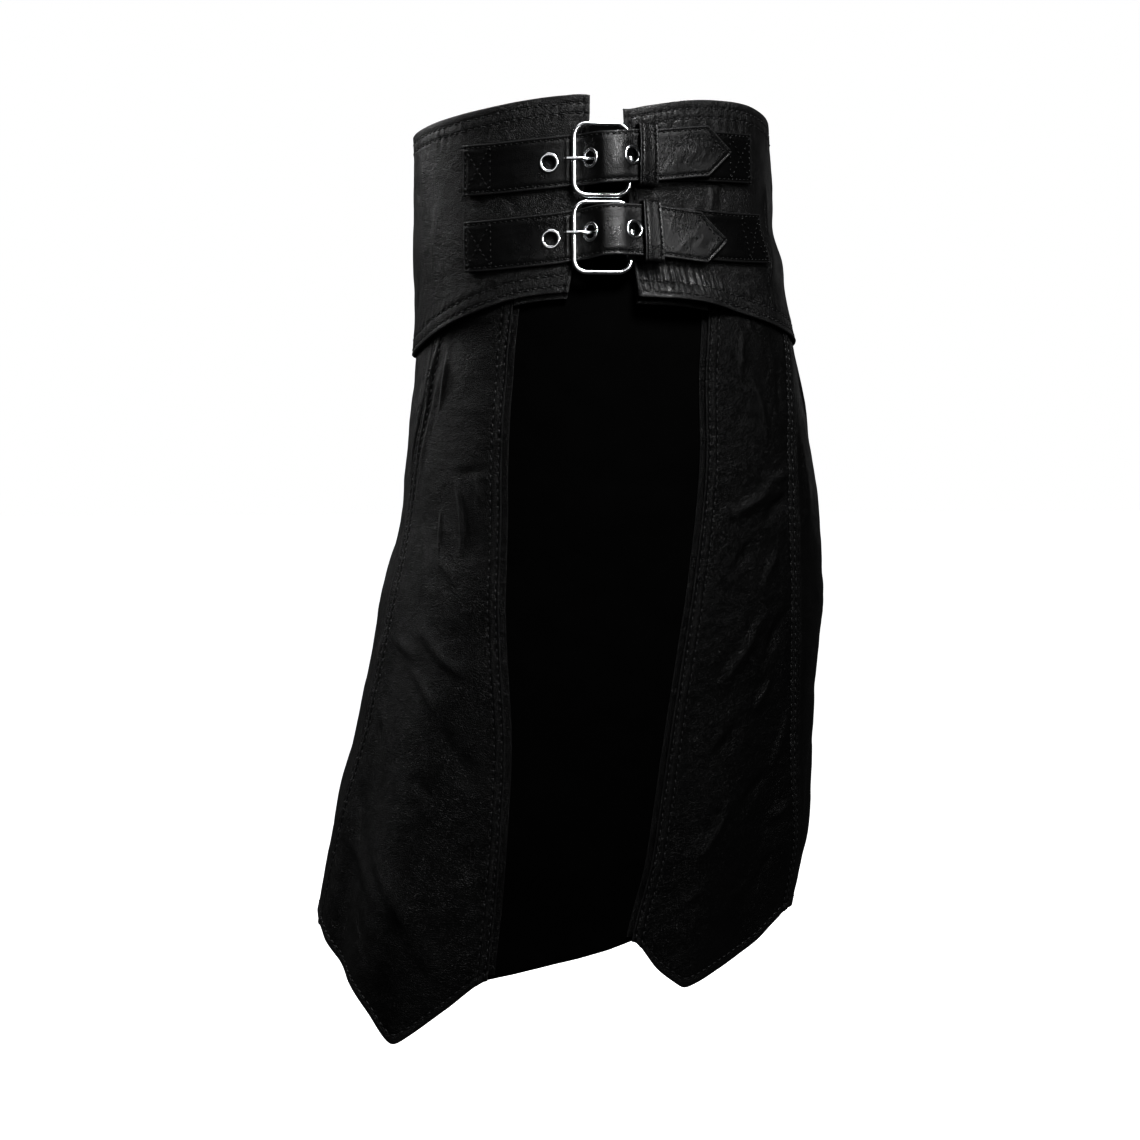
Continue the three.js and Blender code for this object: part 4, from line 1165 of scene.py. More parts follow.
def shifted(edge, distance):
    """An edge moved along the form by a distance."""
    def moved(height):
        angle = edge(height)
        step = np.linalg.norm(form_point(angle + 1, height, 0) - form_point(angle, height, 0), axis=-1)
        return angle + distance / step
    return moved


def yoke_bottom(angle):
    return read(YOKE_BOTTOM, "angle", wrapped(angle), "height")


def hem_height(angle):
    return read(HEM, "angle", wrapped(angle), "height")


def piece_place(start_edge, end_edge, top, hem, out):
    """Where a piece lies between two edges, a top and a hem, each following the others."""
    def place(across, down):
        across, down = np.broadcast_arrays(across, down)
        height = np.zeros(across.shape)
        angle = mix(start_edge(height), end_edge(height), across)
        for _ in range(SETTLE_ROUNDS):
            height = mix(top(angle), hem(angle), down)
            angle = mix(start_edge(height), end_edge(height), across)
        return angle, height, out(height)
    return place


def make_panels():
    left_outer, left_inner = edge_of(SEAMS, "left_outer"), edge_of(SEAMS, "left_inner")
    right_outer, right_inner = edge_of(SEAMS, "right_outer"), edge_of(SEAMS, "right_inner")
    back_left, back_right = edge_of(BACK_SEAMS, "left"), edge_of(BACK_SEAMS, "right")
    panels = [
        ("front_left", left_outer, left_inner, "lapping", "turned"),
        ("side_left", back_left, left_outer, "lapped", "lapped"),
        ("back_left", steady(-180), back_left, "lapping", "lapping"),
        ("back_right", back_right, steady(180), "lapping", "lapped"),
        ("side_right", right_outer, back_right, "lapped", "lapped"),
        ("front_right", right_inner, right_outer, "turned", "lapping"),
    ]
    for name, start, end, start_kind, end_kind in panels:
        place = piece_place(shifted(start, -EDGE_REACH[start_kind]), shifted(end, EDGE_REACH[end_kind]),
                            from_yoke_bottom(PANEL_TUCK), hem_height, steady(0))
        kinds = (start_kind, end_kind, None, "hem")
        cloth = Cloth("panel_" + name, place, PANEL_THICKNESS, kinds, pucker=1)
        face = SHADED_LEATHER if name.endswith("right") else LEATHER
        piece = shell(cloth, *MESH_LINES["front" if "front" in name else "panel"], [face, FLESH])
        thread = Thread(cloth)
        for edge, kind in (("start", start_kind), ("end", end_kind)):
            for distance in STITCH_ROWS.get(kind, ()):
                thread.row(*edge_row(cloth, edge, distance, (PANEL_TUCK, ROW_CLEARANCE)), STITCH_PITCH)
        for distance in STITCH_ROWS["hem"]:
            trims = [max(STITCH_ROWS.get(kind, (PLAIN_TRIM,))) + ROW_CLEARANCE
                     for kind in (start_kind, end_kind)]
            thread.row(*edge_row(cloth, "hem", distance, trims), STITCH_PITCH)
        finish_cloth(cloth, piece, thread.make(GLINT_PALE_THREAD))


def yoke_puckers(angle, height):
    """The crinkled patch over the viewer's right lower corner of the yoke."""
    low, high = YOKE_PUCKER_ANGLES
    base = yoke_bottom(angle) + YOKE_PUCKER_HEIGHT
    start_low, start_high = YOKE_PUCKER_START
    end_low, end_high = YOKE_PUCKER_END
    beside = (smooth_step(low + start_low, low + start_high, angle)
              * smooth_step(high + end_low, high + end_high, angle))
    above = np.exp(-((height - base) / YOKE_PUCKER_REACH) ** 2)
    along = angle * YOKE_DEGREE_LENGTH
    line = hills(along / YOKE_PUCKER_HILLS)
    phase_seed, strength_seed = YOKE_PUCKER_SEEDS
    phase = along / YOKE_PUCKER_SPACING + YOKE_PUCKER_UNEVENNESS * wander(line, phase_seed)
    strength = uneven(YOKE_PUCKER_LEAST, line * YOKE_PUCKER_HEIGHT_HILLS, strength_seed)
    flare = YOKE_FLARE * beside * smooth_step(YOKE_FLARE_HEIGHT, 0, height - yoke_bottom(angle))
    return flare + YOKE_PUCKER_DEPTH * beside * above * strength * np.sin(2 * math.pi * phase)


def make_yoke():
    left_end = edge_of(YOKE_ENDS, "left")
    right_end = edge_of(YOKE_ENDS, "right")
    place = piece_place(
        right_end,
        lambda height: 360 + left_end(height),
        lambda angle: read(YOKE_TOP, "angle", wrapped(angle), "height"),
        yoke_bottom,
        steady(YOKE_OUTER),
    )
    kinds = ("yoke_end", "yoke_end", "yoke_top", "yoke_bottom")
    cloth = Cloth("yoke", place, YOKE_THICKNESS, kinds, pucker=YOKE_PUCKER, crowd=YOKE_CROWD,
                  extra=lambda angle, height: yoke_puckers(wrapped(angle), height))
    piece = shell(cloth, *MESH_LINES["yoke"], [LEATHER, FLESH])
    thread = Thread(cloth)
    end_trim = STITCH_ROWS["yoke_end"][0]
    end_trims = (STITCH_ROWS["yoke_top"][0], STITCH_ROWS["yoke_bottom"][0])
    rows = [("top", "yoke_top", (end_trim, end_trim)), ("hem", "yoke_bottom", (end_trim, end_trim)),
            ("start", "yoke_end", end_trims), ("end", "yoke_end", end_trims)]
    for edge, kind, trims in rows:
        for distance in STITCH_ROWS[kind]:
            thread.row(*edge_row(cloth, edge, distance, trims), STITCH_PITCH)
    finish_cloth(cloth, piece, stitches=thread.make(GLINT_PALE_THREAD))
    facings = [
        ("left", shifted(edge_of(SEAMS, "left_inner"), GAP), shifted(left_end, -YOKE_FACING_INSET)),
        ("right", shifted(right_end, YOKE_FACING_INSET), shifted(edge_of(SEAMS, "right_inner"), -GAP)),
    ]
    for side, start, end in facings:
        place = piece_place(start, end, from_yoke_bottom(YOKE_FACING_TUCK),
                            from_yoke_bottom(-YOKE_FACING_PEEK), steady(YOKE_FACING_OUT))
        cloth = Cloth("yoke_facing_" + side, place, YOKE_FACING_THICKNESS, FACING_EDGES)
        piece = shell(cloth, *MESH_LINES["yoke_facing"], [LEATHER, FLESH])
        finish_cloth(cloth, piece)


def make_edge_facings():
    """The turned edges that peek past the front panels' inner edges."""
    for side, start, end in (("left", -EDGE_FACING_LAP, EDGE_FACING_PEEK),
                             ("right", -EDGE_FACING_PEEK, EDGE_FACING_LAP)):
        edge = edge_of(SEAMS, side + "_inner")
        hem = hem_height(edge(HEM["height"][0])) + EDGE_FACING_HEM_RISE
        place = piece_place(shifted(edge, start), shifted(edge, end), from_yoke_bottom(EDGE_FACING_TUCK),
                            steady(hem), steady(EDGE_FACING_OUT))
        cloth = Cloth("edge_facing_" + side, place, FACING_THICKNESS, FACING_EDGES)
        piece = shell(cloth, *MESH_LINES["edge_facing"], [LEATHER, FLESH])
        finish_cloth(cloth, piece)


def make_underlay():
    """The plain black layer behind the opening, which rises behind the yoke's ends; its colour is painted
    shade that keeps the opening dark.
    """
    def out(height):
        rise = smooth_step(UNDERLAY_RISE_START, UNDERLAY_RISE_END, height)
        return mix(UNDERLAY_OUT, YOKE_FACING_OUT, rise)

    place = piece_place(edge_of(UNDERLAY_EDGES, "left"), edge_of(UNDERLAY_EDGES, "right"),
                        steady(UNDERLAY_TOP),
                        lambda angle: read(UNDERLAY_HEM, "angle", angle, "height"), out)
    cloth = Cloth("underlay", place, UNDERLAY_THICKNESS, ("plain",) * 4)
    piece = shell(cloth, *MESH_LINES["underlay"], [SHADE_BLACK_UNDERLAY, SHADE_BLACK_UNDERLAY])
    finish_cloth(cloth, piece, slot="underlay")


# Straps


def yoke_point(angle, height, lift):
    return form_point(angle, height, YOKE_OUTER + lift)


def strap_half_width(strap):
    def half_width(angle):
        taper = np.clip((angle - strap["corner"]) / (strap["tip"] - strap["corner"]), 0, 1)
        return mix(STRAP_HALF_WIDTH, STRAP_TIP_HALF_WIDTH, taper)
    return half_width


def chape_half_width(angle):
    widening = smooth_step(HEEL_ANGLE, CHAPE_FULL_WIDTH_ANGLE, angle)
    return mix(CHAPE_EYE_HALF_WIDTH, STRAP_HALF_WIDTH, widening)


def strap_place(path, lifts, start, end, thickness, half_width):
    """Where a strap's outer face lies, from its path, its lift off the yoke and its half width."""
    def place(across, down):
        angle = mix(start, end, np.asarray(across, dtype=float))
        height = read(path, "angle", angle, "height") + mix(1, -1, down) * half_width(angle)
        return angle, height, YOKE_OUTER + read(lifts, "angle", angle, "lift") + thickness
    return place


def make_strap(level):
    strap = STRAPS[level]
    half_width = strap_half_width(strap)
    start = strap["start"]
    tip = strap["tip"]
    creases = [row for row in rows_of(STRAP_CREASES) if row["level"] == LEVELS.index(level)]
    for row in creases:
        row["height"] = float(read(strap["path"], "angle", row["angle"], "height") + row["rise"])

    def extra(angle, height):
        rise = (height - read(strap["path"], "angle", angle, "height")) / STRAP_HALF_WIDTH
        raised = smooth_step(*CROWN_START, angle) * smooth_step(*CROWN_END, angle)
        crown = STRAP_CROWN * raised * (1 - np.clip(rise, -1, 1) ** 2)
        return crease_depth(creases, angle, height, STRAP_DEGREE_LENGTH) + crown

    place = strap_place(strap["path"], STRAP_LIFT, start, tip, STRAP_THICKNESS, half_width)
    kinds = ("strap", None, "strap", "strap")
    cloth = Cloth(f"strap_{level}", place, STRAP_THICKNESS, kinds, extra=extra)
    piece = shell(cloth, *MESH_LINES["strap"], [STRAP_LEATHER, FLESH])
    frames = [standing_frame(cloth, (angle - start) / (tip - start), 0.5) for angle in strap["eyelets"]]
    depth = STRAP_THICKNESS * CUTTER_DEPTH_SHARE
    cut_holes(piece, [cylinder_cutter(matrix, EYELET_HOLE_RADIUS, depth) for matrix in frames])

    thread = Thread(cloth)
    row = STITCH_ROWS["strap"][0]
    corner = (strap["corner"] - start) / (tip - start)
    along = np.linspace(row / cloth.widths.max(), corner, STRAP_ROW_STOPS)
    upper = row / np.interp(along, MEASURE_STOPS, cloth.lengths)
    taper = np.linspace(corner, 1 - row * TIP_TRIM_SHARE / cloth.widths.max(), TAPER_STOPS)
    taper_rise = mix(upper[-1], 0.5, (taper - corner) / (taper[-1] - corner))
    across = np.concatenate([along, taper[1:]])
    down = np.concatenate([upper, taper_rise[1:]])
    for line in (down, 1 - down):
        thread.row(across, line, STRAP_STITCH_PITCH)
    box_stitch(thread, cloth, row, "start")
    finish_cloth(cloth, piece, thread.make(STRAP_THREAD))
    for number, matrix in enumerate(frames, start=1):
        make_eyelet(f"eyelet_{level}_{number}", matrix)


def box_stitch(thread, cloth, row, edge):
    """The crossed box that holds a strap's end."""
    width = cloth.widths.mean()
    low = row / width
    high = low + BOX_STITCH_LENGTH / width
    if edge == "end":
        low, high = 1 - low, 1 - high
    top = row / cloth.lengths.mean()
    line = np.linspace(0, 1, BOX_LINE_STOPS)
    lines = [((low, top), (low, 1 - top)), ((high, top), (high, 1 - top)),
             ((low, top), (high, 1 - top)), ((low, 1 - top), (high, top))]
    for start, end in lines:
        across, down = (mix(first, last, line) for first, last in zip(start, end))
        thread.row(across, down, STRAP_STITCH_PITCH)


def standing_frame(cloth, across, down):
    """The axes along, up and out of a piece's outer face at a place, as a matrix in millimetres."""
    origin = cloth.surface(across, down)
    along = unit(cloth.surface(across + PROBE, down) - cloth.surface(across - PROBE, down))
    rise = cloth.surface(across, down - PROBE) - cloth.surface(across, down + PROBE)
    out = unit(np.cross(along, rise))
    return frame_matrix(along, np.cross(out, along), out, origin)


def frame_matrix(x_axis, y_axis, z_axis, origin):
    matrix = np.eye(4)
    matrix[:3, :3] = np.stack([x_axis, y_axis, z_axis], axis=1)
    matrix[:3, 3] = origin
    return matrix


def moved(matrix, points):
    return points @ matrix[:3, :3].T + matrix[:3, 3]


def cylinder_cutter(matrix, radius, length):
    """A cylinder along a frame's out axis, as points and faces."""
    turn = full_circle(CUTTER_SIDES)
    ring = np.stack([np.cos(turn) * radius, np.sin(turn) * radius, np.zeros_like(turn)], axis=-1)
    points = np.concatenate([ring + [0, 0, -length / 2], ring + [0, 0, length / 2]])
    return moved(matrix, points), len(turn)


def cut_holes(piece, cutters):
    """Cuts prisms out of a piece with exact booleans."""
    for points, count in cutters:
        sides = [[i, (i + 1) % count, (i + 1) % count + count, i + count] for i in range(count)]
        faces = sides + [list(range(count))[::-1], list(range(count, 2 * count))]
        mesh = bpy.data.meshes.new("cutter")
        mesh.from_pydata((points * MM).tolist(), [], faces)
        cutter = bpy.data.objects.new("cutter", mesh)
        bpy.context.scene.collection.objects.link(cutter)
        cut = piece.modifiers.new("cut", "BOOLEAN")
        cut.operation = "DIFFERENCE"
        cut.solver = "EXACT"
        cut.object = cutter
        graph = bpy.context.evaluated_depsgraph_get()
        result = bpy.data.meshes.new_from_object(piece.evaluated_get(graph))
        piece.modifiers.remove(cut)
        old = piece.data
        piece.data = result
        bpy.data.meshes.remove(old)
        bpy.data.objects.remove(cutter)
        bpy.data.meshes.remove(mesh)
    piece.data.name = piece.name


def make_chape(level):
    """The strap that carries the buckle: folded round the heel bar and sewn flat to the yoke."""
    strap = STRAPS[level]
    place = strap_place(strap["chape_path"], CHAPE_LIFT, HEEL_ANGLE + CHAPE_START_ANGLE,
                        strap["chape_end"], CHAPE_THICKNESS, chape_half_width)
    cloth = Cloth(f"chape_{level}", place, CHAPE_THICKNESS, (None, "strap", "strap", "strap"))
    piece = shell(cloth, *MESH_LINES["chape"], [STRAP_LEATHER, FLESH])
    thread = Thread(cloth)
    row = STITCH_ROWS["strap"][0]
    for edge in ("top", "hem"):
        thread.row(*edge_row(cloth, edge, row, (CHAPE_ROW_TRIM, row)), STRAP_STITCH_PITCH)
    box_stitch(thread, cloth, row, "end")
    finish_cloth(cloth, piece, thread.make(STRAP_THREAD), chape_loop(level))


def chape_loop(level):
    """The eye of leather round the heel bar, open in the middle for the tongue."""
    matrix = buckle_frame(level)
    steps = np.linspace(*EYE_TURNS, EYE_STEPS) * math.pi
    inner = WIRE_RADIUS + GAP
    outer = inner + CHAPE_LEATHER
    slot = yoke_point(HEEL_ANGLE, STRAPS[level]["prong_height"], HEEL_LIFT)
    slot_middle = float(moved_back(matrix, slot)[1])
    halves = [(-CHAPE_EYE_HALF_WIDTH, slot_middle - PRONG_SLOT_LENGTH / 2),
              (slot_middle + PRONG_SLOT_LENGTH / 2, CHAPE_EYE_HALF_WIDTH)]
    points = []
    quads = []
    for low, high in halves:
        bevel = EYE_BEVEL
        outline = np.array([
            (outer, low + bevel), (outer, high - bevel), (outer - bevel, high), (inner + bevel, high),
            (inner, high - bevel), (inner, low + bevel), (inner + bevel, low), (outer - bevel, low),
        ])
        section = swept(outline, steps)[:, :, [0, 2, 1]]
        tail = np.array([EYE_TAIL, 0, 0])
        section = np.concatenate([section[:1] + tail, section, section[-1:] + tail])
        first = sum(len(part) for part in points)
        index = numbered(*section.shape[:2]) + first
        caps = []
        for ring, flip in ((index[0], 1), (index[-1], -1)):
            caps += [ring[[0, 1, 2, 7]][::flip], ring[[7, 2, 3, 6]][::flip], ring[[6, 3, 4, 5]][::flip]]
        points.append(moved(matrix, section.reshape(-1, 3)))
        quads.append(np.concatenate([grid_quads(closed_round(index)), caps]))
    points = np.concatenate(points)
    return make_mesh(f"chape_eye_{level}", points, np.concatenate(quads), [STRAP_LEATHER])


def moved_back(matrix, point):
    return (point - matrix[:3, 3]) @ matrix[:3, :3]


def keeper_place(level):
    """Where a keeper's outer face lies: once round a rounded rectangle, along its short width."""
    keeper = STRAPS[level]["keeper"]
    half = keeper["half_height"]
    radius = KEEPER_CORNER_RADIUS

    def place(across, down):
        across, down = np.broadcast_arrays(np.asarray(across, float), np.asarray(down, float))
        angle = mix(keeper["end"], keeper["start"], down)
        lift = read(STRAP_LIFT, "angle", angle, "lift") + STRAP_THICKNESS
        front = lift + mix(GAP, KEEPER_EYELET_CLEARANCE, down) + KEEPER_THICKNESS
        back = GAP
        flat = 2 * (half - radius)
        side = np.maximum(front - back - 2 * radius, KEEPER_LEAST_SIDE)
        arc = math.pi / 2 * radius
        total = 2 * flat + 2 * side + 4 * arc
        run = across % 1 * total
        rise = np.zeros(across.shape)
        stand = np.zeros(across.shape)
        begin = np.zeros(across.shape)
        corners = [(half - radius, front - radius, 90), (-(half - radius), front - radius, 180),
                   (-(half - radius), back + radius, 270), (half - radius, back + radius, 360)]
        straights = [flat, side, flat, side]
        for (corner_rise, corner_stand, turn), straight in zip(corners, straights):
            angle_in = (turn - 90 + np.clip((run - begin) / arc, 0, 1) * 90) * DEGREE
            in_arc = (run >= begin) & (run <= begin + arc)
            rise = np.where(in_arc, corner_rise + radius * np.cos(angle_in), rise)
            stand = np.where(in_arc, corner_stand + radius * np.sin(angle_in), stand)
            begin = begin + arc
            share = np.clip((run - begin) / straight, 0, 1)
            in_line = (run > begin) & (run < begin + straight)
            turn_x = math.cos(turn * DEGREE)
            turn_y = math.sin(turn * DEGREE)
            line_rise = corner_rise + radius * turn_x - share * straight * turn_y
            line_stand = corner_stand + radius * turn_y + share * straight * turn_x
            if turn == 90:
                line_stand = line_stand + KEEPER_CROWN * (1 - (2 * share - 1) ** 2)
            rise = np.where(in_line, line_rise, rise)
            stand = np.where(in_line, line_stand, stand)
            begin = begin + straight
        return angle, keeper["middle"] + rise, YOKE_OUTER + stand
    return place


def no_relief(angle, height):
    return 0.0


def make_keeper(level):
    """The leather loop round the strap's end, stitched along both rims."""
    kinds = (None, None, "keeper", "keeper")
    cloth = Cloth(f"keeper_{level}", keeper_place(level), KEEPER_THICKNESS, kinds, follow=no_relief)
    piece = shell(cloth, *MESH_LINES["keeper"], [STRAP_LEATHER, FLESH], closed=True)
    thread = Thread(cloth)
    for edge in ("top", "hem"):
        across, down = edge_row(cloth, edge, STITCH_ROWS["keeper"][0])
        front = across < 0.5
        thread.row(across[front], down[front], STRAP_STITCH_PITCH)
    finish_cloth(cloth, piece, thread.make(STRAP_THREAD))


# Hardware


def buckle_frame(level):
    """The buckle's own axes: from its toe bar to its heel bar, up, and out of the yoke."""
    middle = STRAPS[level]["buckle_middle"]
    toe = yoke_point(TOE_ANGLE, middle, TOE_LIFT)
    heel = yoke_point(HEEL_ANGLE, middle, HEEL_LIFT)
    across = unit(heel - toe)
    middle_angle = (TOE_ANGLE + HEEL_ANGLE) / 2
    rise = (yoke_point(middle_angle, middle + BUCKLE_HEIGHT / 2, 0)
            - yoke_point(middle_angle, middle - BUCKLE_HEIGHT / 2, 0))
    out = unit(np.cross(across, rise))
    return frame_matrix(across, np.cross(out, across), out, heel)


def buckle_width(level):
    middle = STRAPS[level]["buckle_middle"]
    heel = yoke_point(HEEL_ANGLE, middle, HEEL_LIFT)
    return float(np.linalg.norm(heel - yoke_point(TOE_ANGLE, middle, TOE_LIFT)))


def tube(name, path, radii, closed=False):
    """A round bar along a path in millimetres, with no twist. An open one has round ends."""
    path = np.asarray(path, dtype=float)
    steps = np.roll(path, -1, axis=0) - np.roll(path, 1, axis=0) if closed else np.gradient(path, axis=0)
    tangents = unit(steps)
    side = unit(np.cross(tangents[0], tangents[len(tangents) // 3] + OFF_LINE))
    turn = np.arange(CHROME_SIDES) * 2 * math.pi / CHROME_SIDES
    rings = []
    for point, tangent, radius in zip(path, tangents, radii):
        side = unit(side - tangent * np.dot(side, tangent))
        up = np.cross(tangent, side)
        rings.append(point + radius * (np.cos(turn)[:, None] * side + np.sin(turn)[:, None] * up))
    rings = np.array(rings)
    index = numbered(len(rings), CHROME_SIDES)
    quads = [grid_quads(closed_round(index, both=closed))]
    if not closed:
        for ring, flip in ((index[0], 1), (index[-1], -1)):
            half = CHROME_SIDES // 2
            for corner in range(half - 1):
                cap = np.array([ring[corner], ring[corner + 1], ring[-corner - 2], ring[-corner - 1]])
                quads.append(cap[::flip][None])
    return make_mesh(name, rings.reshape(-1, 3), np.concatenate(quads), [CHROME])


def make_buckle(level):
    """A closed round wire bent to a rectangle with round corners."""
    matrix = buckle_frame(level)
    width = buckle_width(level)
    half = BUCKLE_HEIGHT / 2
    radius = BUCKLE_CORNER_RADIUS
    corners = [(-radius, half - radius, 0), (radius - width, half - radius, 90),
               (radius - width, radius - half, 180), (-radius, radius - half, 270)]
    path = []
    for number, (x, y, turn) in enumerate(corners):
        for step in np.linspace(0, 90, BUCKLE_CORNER_STEPS):
            direction = (turn + step) * DEGREE
            path.append((x + radius * math.cos(direction), y + radius * math.sin(direction), 0))
        next_x, next_y, next_turn = corners[(number + 1) % 4]
        line_end = np.array([next_x + radius * math.cos(next_turn * DEGREE),
                             next_y + radius * math.sin(next_turn * DEGREE), 0])
        line_start = np.array(path[-1])
        for share in np.linspace(0, 1, BUCKLE_LINE_STEPS)[1:-1]:
            path.append(mix(line_start, line_end, share))
    path = moved(matrix, np.array(path))
    piece = tube(f"buckle_{level}", path, np.full(len(path), float(WIRE_RADIUS)), closed=True)
    piece.name = f"frame_{level}"
    settle(piece, "chrome", f"buckle_{level}")


def squared(wave, power):
    """A sine or cosine made fuller, for a section with round corners."""
    return np.sign(wave) * np.abs(wave) ** power


def make_prong(level):
    """The tongue: a band curled round the heel bar, and a rod through the hole over the toe bar."""
    height = STRAPS[level]["prong_height"]
    knots = yoke_point(PRONG_PATH["angle"], height, PRONG_PATH["lift"])
    run = np.arange(len(knots), dtype=float)
    curve = {"run": run, "x": knots[:, 0], "y": knots[:, 1], "z": knots[:, 2]}
    stops = np.linspace(0, run[-1], PRONG_STOPS)
    path = np.stack([read(curve, "run", stops, axis) for axis in "xyz"], axis=-1)
    share = stops / run[-1]
    taper = np.clip((share - PRONG_TAPER_START) / (1 - PRONG_TAPER_START), 0, 1)
    rounding = np.clip((share - PRONG_ROUND_START) / (1 - PRONG_ROUND_START), 0, 1)
    radii = mix(PRONG_RADIUS, PRONG_TIP_RADIUS, taper)
    radii = radii * np.sqrt(np.clip(1 - rounding**2, PRONG_END_SHARE, 1))
    rod = tube(f"tongue_{level}", path, radii)
    matrix = buckle_frame(level)
    matrix[:3, 3] = yoke_point(HEEL_ANGLE, height, HEEL_LIFT)
    section = full_circle(BAND_STEPS)
    reach = PRONG_RING_RADIUS + PRONG_RING_HALF_WALL * squared(np.cos(section), BAND_WALL_POWER)
    along = PRONG_RING_HALF_LENGTH * squared(np.sin(section), BAND_LENGTH_POWER)
    ring = swept(np.stack([reach, along], axis=-1), full_circle(ROUND_STEPS))[:, :, [0, 2, 1]]
    quads = grid_quads(closed_round(numbered(ROUND_STEPS, BAND_STEPS), both=True))
    band = make_mesh(f"tongue_band_{level}", moved(matrix, ring.reshape(-1, 3)), quads, [CHROME])
    settle(rod, "chrome", f"prong_{level}")
    settle(band, "chrome")


def make_eyelet(node, matrix):
    """A pressed ring with a round rim and a barrel through the strap."""
    bore = EYELET_BORE_RADIUS
    flange = EYELET_FLANGE_RADIUS
    barrel_end = -STRAP_THICKNESS + GAP
    middle = (bore + flange) / 2
    half = (flange - bore) / 2
    rim = [(middle + half * math.cos(step),
            EYELET_SEAT + EYELET_FLANGE_HEIGHT * math.sin(step) ** EYELET_RIM_POWER)
           for step in np.linspace(0, math.pi, EYELET_RIM_STEPS)]
    barrel = bore + EYELET_BARREL_WALL
    profile = rim + [(bore, EYELET_SEAT * 0.5), (bore, barrel_end), (barrel, barrel_end),
                     (barrel, EYELET_SEAT * 0.6), (flange - EYELET_SKIRT, EYELET_SEAT * 0.8)]
    points = swept(np.array(profile), full_circle(ROUND_STEPS))
    quads = grid_quads(closed_round(numbered(*points.shape[:2]), both=True))[:, ::-1]
    piece = make_mesh("ring_" + node, moved(matrix, points.reshape(-1, 3)), quads, [CHROME])
    settle(piece, "chrome", node)


# Studio


# The camera at the photograph's viewing angle, and the contrast, the backdrop and the floor
CAMERA_PLACE = Vector((-157.03, -1340.93, -174.0)) * MM
CAMERA_TURN = (85.493, 0, -6)
CAMERA_LENS = 56.08
SENSOR = 36
CAMERA_REACH = 60
CONTRAST_GAMMA = 0.7
BACKDROP_LIGHT = 1.0
FILL_LIGHT = 0.05
FLOOR_COLOUR = (0.8, 0.8, 0.8, 1)
FLOOR_ROUGHNESS = 0.9
WHITE = (1, 1, 1, 1)
LAMP_TARGET = (0, 0, -0.12)
METAL_STARTS = ("frame_", "tongue_", "ring_")

# Groups of pieces by how their names begin, and the lamps in metres and watts: name, place, width
# and height, power, and the only group that a lamp lights
LIT_PIECES = {
    "metal": METAL_STARTS,
    "polished": METAL_STARTS + ("leather_strap_", "leather_keeper_"),
    "yoke": ("leather_yoke",),
    "panels": ("leather_panel_", "thread_panel_"),
    "keeper": ("leather_keeper_lower",),
}
LAMPS = [
    ("key", (0.25, -0.86, 0.86), (0.42, 0.35), 20, None),
    ("left_rim", (-0.9, 0.5, 0.55), (0.35, 0.6), 9, None),
    ("back_key", (0.16, 1.35, 0.8), (0.4, 0.35), 16, None),
    ("right_back", (1.28, 1.53, 0.1), (0.5, 0.7), 0.6, None),
    ("strap_lamp", (0.62, -1.62, 0.4), (0.34, 0.45), 28, "polished"),
    ("yoke_lamp", (0.62, -1.62, 0.3), (0.34, 0.45), 6, "yoke"),
    ("corner_lamp", (0.53, -1.2, 0.8), (0.3, 0.3), 17, "yoke"),
    ("panel_rim", (-0.9, 0.5, 0.55), (0.35, 0.6), 8, "panels"),
    ("keeper_lamp", (0.62, -1.62, 0.4), (0.34, 0.45), 18, "keeper"),
    ("front_card", (-0.7, -1.9, -0.2), (1.4, 1.4), 7, "metal"),
    ("top_card", (-0.2, -0.7, 1.5), (1.2, 1.2), 9, "metal"),
]
FLOOR_REACH = 15000
FLOOR_HEIGHT = -950


def make_camera():
    data = bpy.data.cameras.new("camera")
    data.lens = CAMERA_LENS
    data.sensor_width = SENSOR
    data.clip_end = CAMERA_REACH
    camera = bpy.data.objects.new("camera", data)
    camera.location = CAMERA_PLACE
    camera.rotation_euler = [turn * DEGREE for turn in CAMERA_TURN]
    bpy.context.scene.collection.objects.link(camera)
    bpy.context.scene.camera = camera


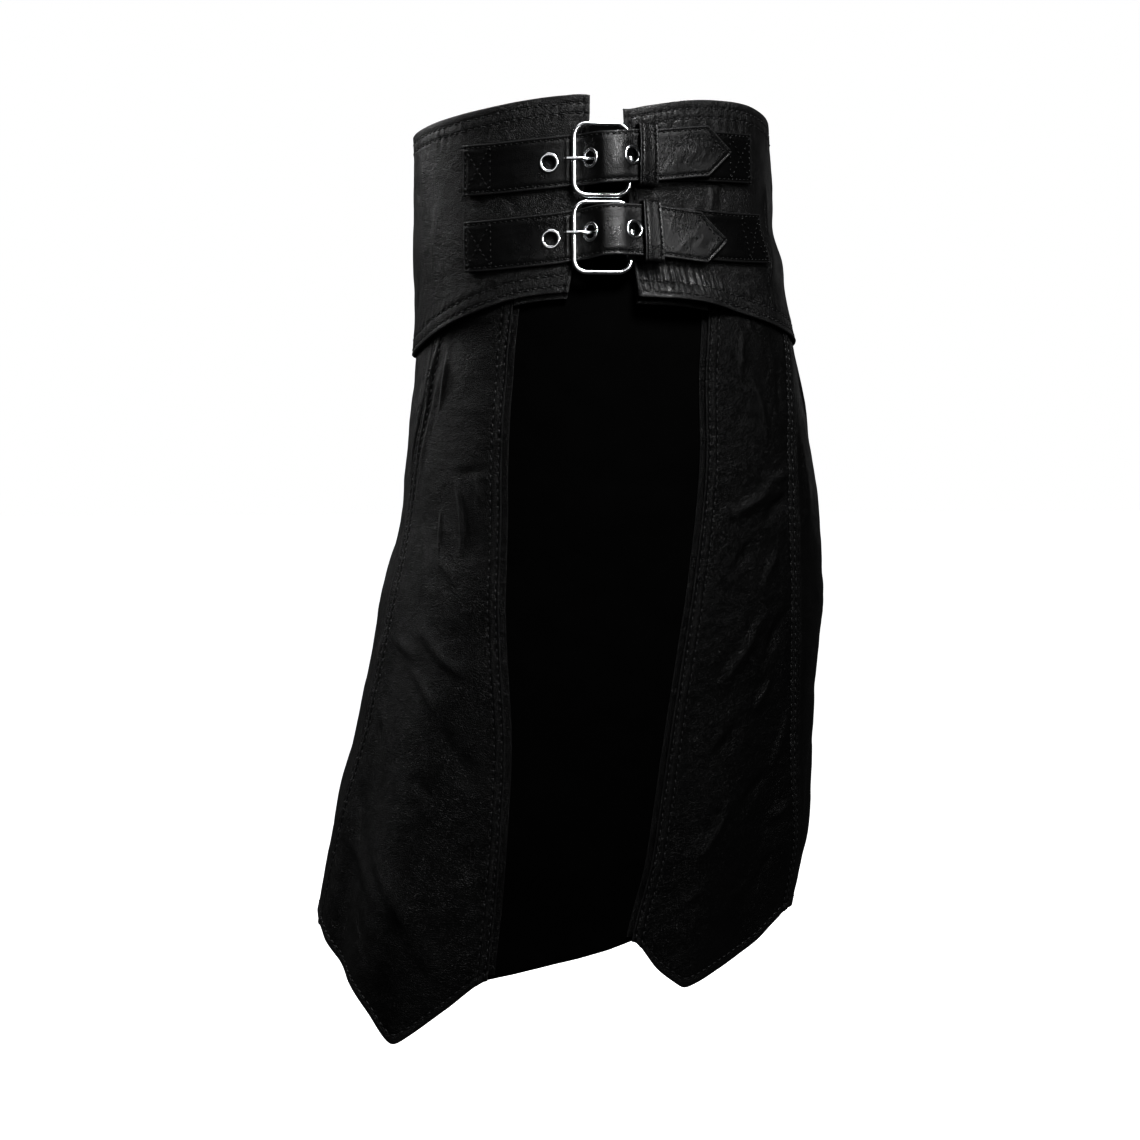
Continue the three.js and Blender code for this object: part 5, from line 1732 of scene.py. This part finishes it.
def make_light(name, place, size, power, receivers):
    """A soft rectangular lamp at a place, turned to the kilt, for all pieces or only some."""
    data = bpy.data.lights.new(name, "AREA")
    data.shape = "RECTANGLE"
    data.size, data.size_y = size
    data.energy = power
    lamp = bpy.data.objects.new(name, data)
    lamp.location = place
    lamp.rotation_euler = (Vector(LAMP_TARGET) - Vector(place)).to_track_quat("-Z", "Y").to_euler()
    bpy.context.scene.collection.objects.link(lamp)
    if receivers:
        lamp.light_linking.receiver_collection = receivers


def make_floor():
    """A plain pale floor, as light as the backdrop, that sends no light up into the leather."""
    material = Nodes("floor").finish(Base_Color=FLOOR_COLOUR, Roughness=FLOOR_ROUGHNESS,
                                     Emission_Color=WHITE, Emission_Strength=BACKDROP_LIGHT)
    corners = [(x * FLOOR_REACH, y * FLOOR_REACH, FLOOR_HEIGHT)
               for x, y in ((-1, -1), (1, -1), (1, 1), (-1, 1))]
    floor = make_mesh("floor", corners, [(0, 1, 2, 3)], [material])
    floor.visible_diffuse = False
    floor.visible_glossy = False
    floor.visible_shadow = False


def gathered(name, starts):
    """A collection of the pieces whose names begin with one of the starts."""
    group = bpy.data.collections.new(name)
    for piece in bpy.data.objects:
        if piece.name.startswith(starts):
            group.objects.link(piece)
    return group


def make_studio():
    world = bpy.data.worlds.new("studio")
    bpy.context.scene.world = world
    world.use_nodes = True
    tree = world.node_tree
    background = tree.nodes["Background"]
    path = tree.nodes.new("ShaderNodeLightPath")
    strength = tree.nodes.new("ShaderNodeMapRange")
    strength.inputs["To Min"].default_value = FILL_LIGHT
    strength.inputs["To Max"].default_value = BACKDROP_LIGHT
    tree.links.new(path.outputs["Is Camera Ray"], strength.inputs["Value"])
    tree.links.new(strength.outputs["Result"], background.inputs["Strength"])
    background.inputs["Color"].default_value = WHITE
    groups = {name: gathered(name, starts) for name, starts in LIT_PIECES.items()}
    for name, place, size, power, group in LAMPS:
        make_light(name, place, size, power, groups.get(group))
    bpy.context.scene.view_settings.view_transform = "Standard"
    bpy.context.scene.view_settings.gamma = CONTRAST_GAMMA


make_camera()
make_yoke()
make_panels()
make_edge_facings()
make_underlay()
for level in LEVELS:
    make_strap(level)
    make_chape(level)
    make_keeper(level)
    make_buckle(level)
    make_prong(level)
make_floor()
make_studio()
